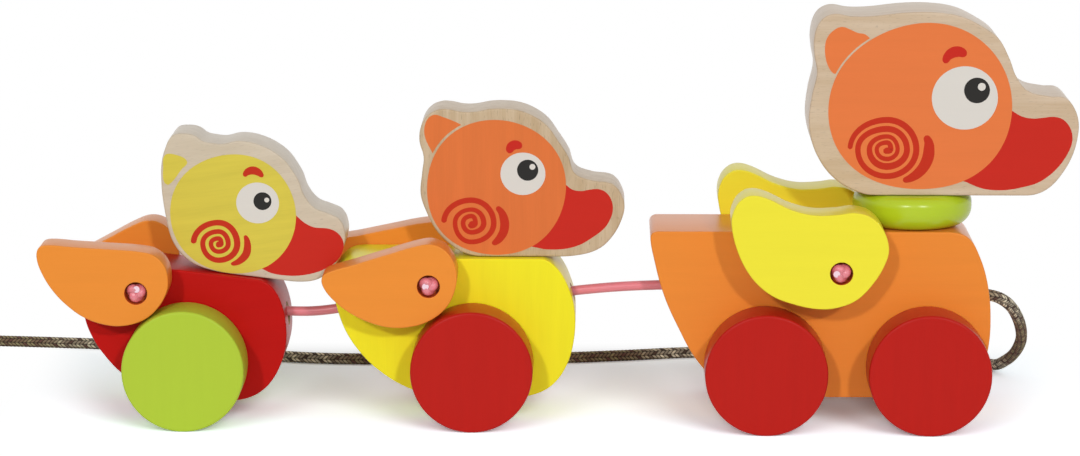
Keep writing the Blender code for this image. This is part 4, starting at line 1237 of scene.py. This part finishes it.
# %% The mother's face
# A disc has its middle, its half sizes, its tilt in degrees and its bulges. A swirl has its middle,
# its first angle in degrees, its radii and its half widths. Crescent and brow are points with half
# widths. The tuft keeps its gap to the disc.
mother_face = {
    "inks": (orange_ink, red_ink),
    "disc": ((29.3, 132.3), 37.6, 34.0, 0.0,
             [-0.2, -0.4, 0.4, 0.4, -0.5, -1.2, -1.6, -0.9, -0.2, 0.8, 1.9, 1.1, 0.6, 1.2, 1.2, 0.4]),
    "tuft": [(8.3, 159.9), (6.4, 161.3), (3.4, 161.9), (-0.4, 163.6), (-2.5, 164.3), (-4.9, 163.8),
             (-7.9, 161.4), (-9.4, 158.6), (-9.8, 154.9), (-9.3, 150.8), (-7.9, 147.2), (-6.2, 145.2),
             (-5.2, 145.0)],
    "tuft_gap": 0.75,
    "beak": [(62.5, 133.0), (67.0, 129.8), (71.0, 127.6), (75.2, 126.9), (79.3, 127.2), (83.3, 127.6),
             (86.9, 126.8), (89.7, 124.2), (91.2, 120.6), (91.2, 116.8), (89.7, 112.7), (86.8, 108.1),
             (82.5, 103.6), (77.4, 100.3), (71.7, 98.6), (66.0, 97.5), (60.5, 97.3), (55.0, 98.0),
             (49.0, 100.4), (43.5, 103.5), (50.0, 112.0), (58.0, 124.0)],
    "beak_heart": (70.0, 114.0),
    "swirl": ((15.9, 114.0), 180,
              [1.4, 0.5, 1.6, 2.9, 4.1, 3.9, 4.4, 5.4, 7.1, 7.0, 8.2, 8.5, 11.8, 11.0, 12.0, 12.2, 15.0],
              [1.3, 1.3, 1.1, 0.95, 0.85, 0.95, 0.85, 0.9, 1.1, 1.4, 1.2, 1.25, 1.1, 1.2, 1.25, 1.25,
               1.0]),
    "swirl_middle": ((16.2, 113.7), 1.15, 1.15),
    "crescent": [(31.5, 119.8, 1.2), (32.9, 117.0, 1.8), (33.1, 114.3, 2.2), (32.7, 110.7, 2.35),
                 (31.1, 107.0, 2.25), (28.6, 104.1, 2.0), (25.7, 102.2, 1.6), (22.6, 101.1, 1.0)],
    "brow": [(38.9, 149.5, 1.2), (40.0, 152.2, 1.8), (42.2, 153.9, 2.2), (44.9, 154.2, 2.1),
             (47.7, 152.8, 1.4)],
    "eye": ((47.3, 135.3), 13.4, 13.0), "pupil": ((52.2, 138.4), 5.25, 5.25),
    "glint": ((54.1, 139.9), 1.6, 1.6)}
print("the mother's disc bulges from", min(mother_face["disc"][-1]), "to", max(mother_face["disc"][-1]), "mm")

# %% [markdown]
# ## The middle duckling's face
# It is printed like the mother's, about three quarters of the size and with a longer tuft. Scaling
# the mother's screens wouldn't do, because the swirl winds one turn less.

# %% The middle duckling's face
middle_face = {
    "inks": (orange_ink_upright, red_ink),
    "disc": ((9.7, 72.7), 28.8, 27.8, 0.0,
             [-0.2, -0.2, -0.2, -0.4, -0.4, 0.1, 0.1, -0.4, -0.2, 0.3, 1.3, 1.0, 0.6, 1.1, 0.5, 0.0]),
    "tuft": [(-4.5, 97.9), (-6.0, 98.9), (-11.7, 101.2), (-16.1, 102.2), (-19.1, 99.2), (-19.6, 93.5),
             (-17.7, 86.9)],
    "tuft_gap": 1.0,
    "beak": [(36.0, 75.3), (38.4, 73.2), (41.1, 71.3), (44.4, 70.8), (48.1, 71.4), (51.6, 71.6),
             (54.6, 70.3), (56.8, 67.3), (57.5, 63.3), (56.6, 59.5), (54.0, 55.3), (48.9, 51.3),
             (44.0, 48.4), (38.5, 46.8), (32.5, 46.4), (27.5, 46.9), (22.5, 49.2), (26.0, 55.0),
             (31.0, 65.0)],
    "beak_heart": (42.0, 58.0),
    "swirl": ((-0.6, 57.4), 180, [0.5, 1.2, 1.7, 2.9, 3.4, 3.9, 5.1, 5.6, 6.7, 7.9, 9.2, 9.5, 11.3],
              [1.1, 1.1, 1.0, 0.95, 0.98, 0.98, 1.12, 0.9, 0.95, 1.0, 1.15, 1.15, 1.12]),
    "swirl_middle": ((-0.3, 57.0), 1.25, 1.25),
    "crescent": [(9.8, 64.2, 0.95), (11.7, 62.0, 1.4), (12.7, 59.6, 1.75), (13.1, 56.9, 1.85),
                 (12.6, 53.7, 1.8), (11.0, 51.0, 1.6), (9.3, 49.4, 1.25), (7.8, 48.8, 0.75)],
    "brow": [(14.9, 86.4, 1.2), (15.7, 88.9, 1.9), (17.6, 89.9, 1.9), (20.3, 89.1, 1.3)],
    "eye": ((20.6, 77.9), 9.2, 8.8), "pupil": ((22.55, 79.4), 4.35, 4.35),
    "glint": ((24.5, 80.8), 1.2, 1.2)}
print("quarter turns of its swirl:", len(middle_face["swirl"][2]) - 1)

# %% [markdown]
# ## The rear duckling's face
# Its disc and tuft are yellow, and its brow has the softer red of the swirls. The disc stays level
# although the duckling leans, so it is tilted back against the board. The tuft stands alone, so it
# has a heart of its own to close in.

# %% The rear duckling's face
rear_face = {
    "inks": (yellow_ink, swirl_ink),
    "disc": ((11.6, 62.9), 25.9, 24.8, 7.0,
             [-0.1, -0.2, 0.0, 0.1, -0.1, -0.2, 0.1, 0.3, -0.1, 0.2, 0.1, 0.0, 0.1, 0.7, 0.7, 0.4]),
    "tuft": [(-18.9, 83.5), (-15.2, 84.4), (-9.6, 82.2), (-11.5, 78.5), (-15.9, 71.7), (-18.1, 72.7),
             (-19.0, 78.0)],
    "tuft_heart": (-14.5, 78.5),
    "beak": [(35.0, 66.8), (38.0, 64.9), (41.5, 62.6), (45.5, 61.4), (50.5, 61.6), (53.7, 61.0),
             (56.5, 59.1), (58.1, 56.2), (58.1, 53.0), (56.2, 48.7), (52.5, 45.2), (47.4, 42.4),
             (41.5, 40.6), (35.5, 39.9), (30.5, 40.1), (26.8, 41.2), (23.0, 43.2), (27.0, 49.0),
             (32.0, 58.0)],
    "beak_heart": (42.0, 52.0),
    "swirl": ((7.0, 49.7), -173, [1.0, 0.4, 1.1, 2.2, 3.1, 3.3, 4.0, 5.1, 6.5, 6.9, 7.7, 8.8, 10.3],
              [1.2, 1.2, 1.05, 0.95, 0.95, 0.95, 1.05, 1.0, 1.05, 1.15, 1.3, 1.2, 1.2]),
    "swirl_middle": ((7.1, 49.5), 1.15, 1.15),
    "crescent": [(17.4, 54.6, 0.65), (18.5, 52.4, 1.2), (19.0, 49.7, 1.5), (18.8, 47.0, 1.6),
                 (17.6, 44.9, 1.5), (15.9, 43.2, 1.25), (14.1, 42.2, 0.9), (12.9, 42.0, 0.5)],
    "brow": [(14.2, 78.9, 0.8), (15.6, 80.9, 1.45), (17.8, 81.8, 1.7), (20.2, 81.2, 1.45),
             (22.1, 79.6, 0.7)],
    "eye": ((21.1, 68.6), 8.8, 8.5), "pupil": ((23.0, 69.6), 3.7, 3.7),
    "glint": ((24.7, 70.3), 1.0, 1.0)}
print("tilt of its disc:", rear_face["disc"][3], "degrees")

# %% [markdown]
# ## From screens to prints
# The films go on as in real printing. Tuft and beak come first, then the disc over the beak's inner
# edge, then swirl, crescent, brow and the white of the eye, then the pupil and the swirl's middle,
# and the eye's glint comes last. Each of these five layers lies one film further out than the one
# before it, so no two films that overlap share a surface.

# %% Faces
RING, STRIP = True, False       # whether the rows of a film close round
EYE_POINTS, PUPIL_POINTS, SMALL_POINTS, GLINT_POINTS, CRESCENT_POINTS = 120, 60, 40, 32, 60
FACES = {"mother": mother_face, "duckling_2": middle_face, "duckling_1": rear_face}
for duck, face in FACES.items():
    ground, brow_ink = face["inks"]
    if "tuft_gap" in face:
        tuft = (1, ground, tuft_rows(face["tuft"], face["disc"], face["tuft_gap"]), STRIP)
    else:
        tuft = (1, ground, patch_rows(face["tuft"], face["tuft_heart"]), RING)
    printed = print_films(duck, f"{duck}_face_print", [
        tuft,
        (1, red_ink, patch_rows(face["beak"], face["beak_heart"]), RING),
        (2, ground, face_rows(face["disc"]), RING),
        (3, swirl_ink, swirl_rows(*face["swirl"]), STRIP),
        (4, swirl_ink, disc_rows(*face["swirl_middle"], SMALL_POINTS), RING),
        (3, swirl_ink, stroke_rows(smooth_curve(face["crescent"]), CRESCENT_POINTS), STRIP),
        (3, brow_ink, stroke_rows(smooth_curve(face["brow"]), SMALL_POINTS), STRIP),
        (3, white_ink, disc_rows(*face["eye"], EYE_POINTS), RING),
        (4, black_ink, disc_rows(*face["pupil"], PUPIL_POINTS), RING),
        (5, white_ink, disc_rows(*face["glint"], GLINT_POINTS), RING),
    ], [ground, red_ink, swirl_ink, white_ink, black_ink])
    print(f"{duck}'s face:", len(printed.data.polygons), "faces")

# %% [markdown]
# ## The links
# The links are solid round elastic, 4 mm thick: smooth, slightly translucent rubber with a clear
# shine. Each bows a little between its two holes, as in the picture, and ends in a half ball.

# %% Link elastics
ELASTIC_RADIUS = 2.0
LINK_RINGS, LINK_SIDES = 60, 28
# The two holes that each link joins.
LINKS = {"front": (("mother", "-x"), ("duckling_2", "x")),
         "rear": (("duckling_2", "-x"), ("duckling_1", "x"))}
LINK_BOW = {"front": 0.6, "rear": -1.0}      # mm upwards in the middle of each link
END_SHARE = 0.98    # the half ball stops just short of its pole, which the tube then closes

# Extruded rubber gives a clear highlight, and light that goes a little way in softens its shaded side.
pink_rubber, tree, shader = new_material("pink_rubber")
connect(tree, shader, {"Base Color": linear_colour("#E88690"), "Roughness": 0.28, "Subsurface Weight": 0.25,
                       "Subsurface Radius": (1.0, 0.45, 0.5), "Subsurface Scale": 1.2 * MM})
for name, holes in LINKS.items():
    start, end = (place(hole[0], LINK_ENDS[hole][0], 0.0, LINK_ENDS[hole][1]) for hole in holes)
    share = np.linspace(0, 1, LINK_RINGS)[:, None]
    way = start + (end - start) * share + np.array((0, 0, LINK_BOW[name])) * np.sin(np.pi * share)
    reach = np.linalg.norm(end - start) * np.minimum(share, 1 - share).ravel()
    thick = ELASTIC_RADIUS * np.sqrt(1 - np.clip(1 - reach / ELASTIC_RADIUS, 0, END_SHARE) ** 2)
    points = tube(way, thick, LINK_SIDES)
    make_piece(f"{name}_link_elastic", points, grid_faces(*points.shape[:2]), [pink_rubber], f"{name}_link",
               (f"{name}_link_cord",))
    print(f"{name} link:", round(np.linalg.norm(end - start)), "mm")

# %% [markdown]
# ## The elastics of the wings
# One elastic carries both wings of a duck. It crosses the body and ends in a tight knot in the
# recess of each wing, where its cut end shows a pale core. Both knots, the stretch between them
# and the cut ends are one piece, as on the real toy.

# %% Wing elastics
KNOT_DEPTH = 3.0        # mm from the recess's mouth to the knot's middle
KNOT_ACROSS, KNOT_ALONG, KNOT_RADIUS = 2.3, 1.0, 1.9
# Where a knot's cut end stands beside its middle, in side view.
CUT_ENDS = {"mother": (-1.9, -0.2), "duckling_2": (-1.2, 0.0), "duckling_1": (0.3, 1.7)}
CUT_RADIUS, CUT_WALL, CUT_RIM, CUT_REACH = 1.55, 2.5, 2.75, 2.8
CUT_ROUNDING = 0.2
ROD_RINGS, ELASTIC_SIDES = 40, 24

# The core of the elastic is undyed rubber thread, so the cut end is pale and dull.
pale_core, tree, shader = new_material("elastic_core")
connect(tree, shader, {"Base Color": linear_colour("#F4D4E0"), "Roughness": 0.5})
stub_profile = [(0, 0), (CUT_RADIUS, 0), (CUT_RADIUS, CUT_WALL), (CUT_RADIUS - CUT_ROUNDING, CUT_RIM)]
cap_profile = [(CUT_RADIUS - CUT_ROUNDING, CUT_RIM), (0, CUT_REACH)]
for duck in DUCKS:
    outer = BODY_WIDTH[duck] / 2 + SIDE_GAP + WING_WIDTH[duck]
    wings = [(WINGS[duck, hand][0], OUTWARDS[hand]) for hand in ("right", "left")]
    ends = [place(duck, x, side * (outer - KNOT_DEPTH), z) for (x, z), side in wings]
    sides = [place(duck, x, side * BODY_WIDTH[duck] / 2, z) for (x, z), side in wings]
    rod = tube(evenly(np.array([ends[0], *sides, ends[1]]), ROD_RINGS), ELASTIC_RADIUS, ELASTIC_SIDES)
    pieces = [(rod, False, 0)]
    for middle, (_, side) in zip(ends, wings):
        axis = "y" if side > 0 else "-y"
        shift = middle + (CUT_ENDS[duck][0], 0, CUT_ENDS[duck][1])
        knot = closed_tube(trefoil(middle, KNOT_ACROSS, KNOT_ALONG, "y"), KNOT_RADIUS, KNOT_SIDES)
        pieces += [(knot, True, 0),
                   (lathe(stub_profile, ELASTIC_SIDES, axis) + shift, False, 0),
                   (lathe(cap_profile, ELASTIC_SIDES, axis) + shift, False, 1)]
    faces = [grid_faces(*points.shape[:2], closed) for points, closed, _ in pieces]
    offsets = np.cumsum([0] + [points[..., 0].size for points, _, _ in pieces[:-1]])
    make_piece(f"{duck}_wing_elastic", np.vstack([points.reshape(-1, 3) for points, _, _ in pieces]),
               np.vstack([f + offset for f, offset in zip(faces, offsets)]), [pink_rubber, pale_core], duck,
               (f"{duck}_wing_cord",),
               indices=np.concatenate([np.full(len(f), index) for f, (_, _, index) in zip(faces, pieces)]))
    print(f"{duck}'s wing elastic:", round(2 * (outer - KNOT_DEPTH)), "mm between its knots")

# %% [markdown]
# ## Axles and dowels
# The axles and the dowels in the necks are plain turned beech and mostly hidden. Their CAD shapes
# are right, so they only get the wood's material.

# %% Wooden rods
for name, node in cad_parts.items():
    if name.endswith("_axle") or name.endswith("_dowel"):
        node.data.materials.clear()
        node.data.materials.append(drilled_beech)
        print("beech:", name)
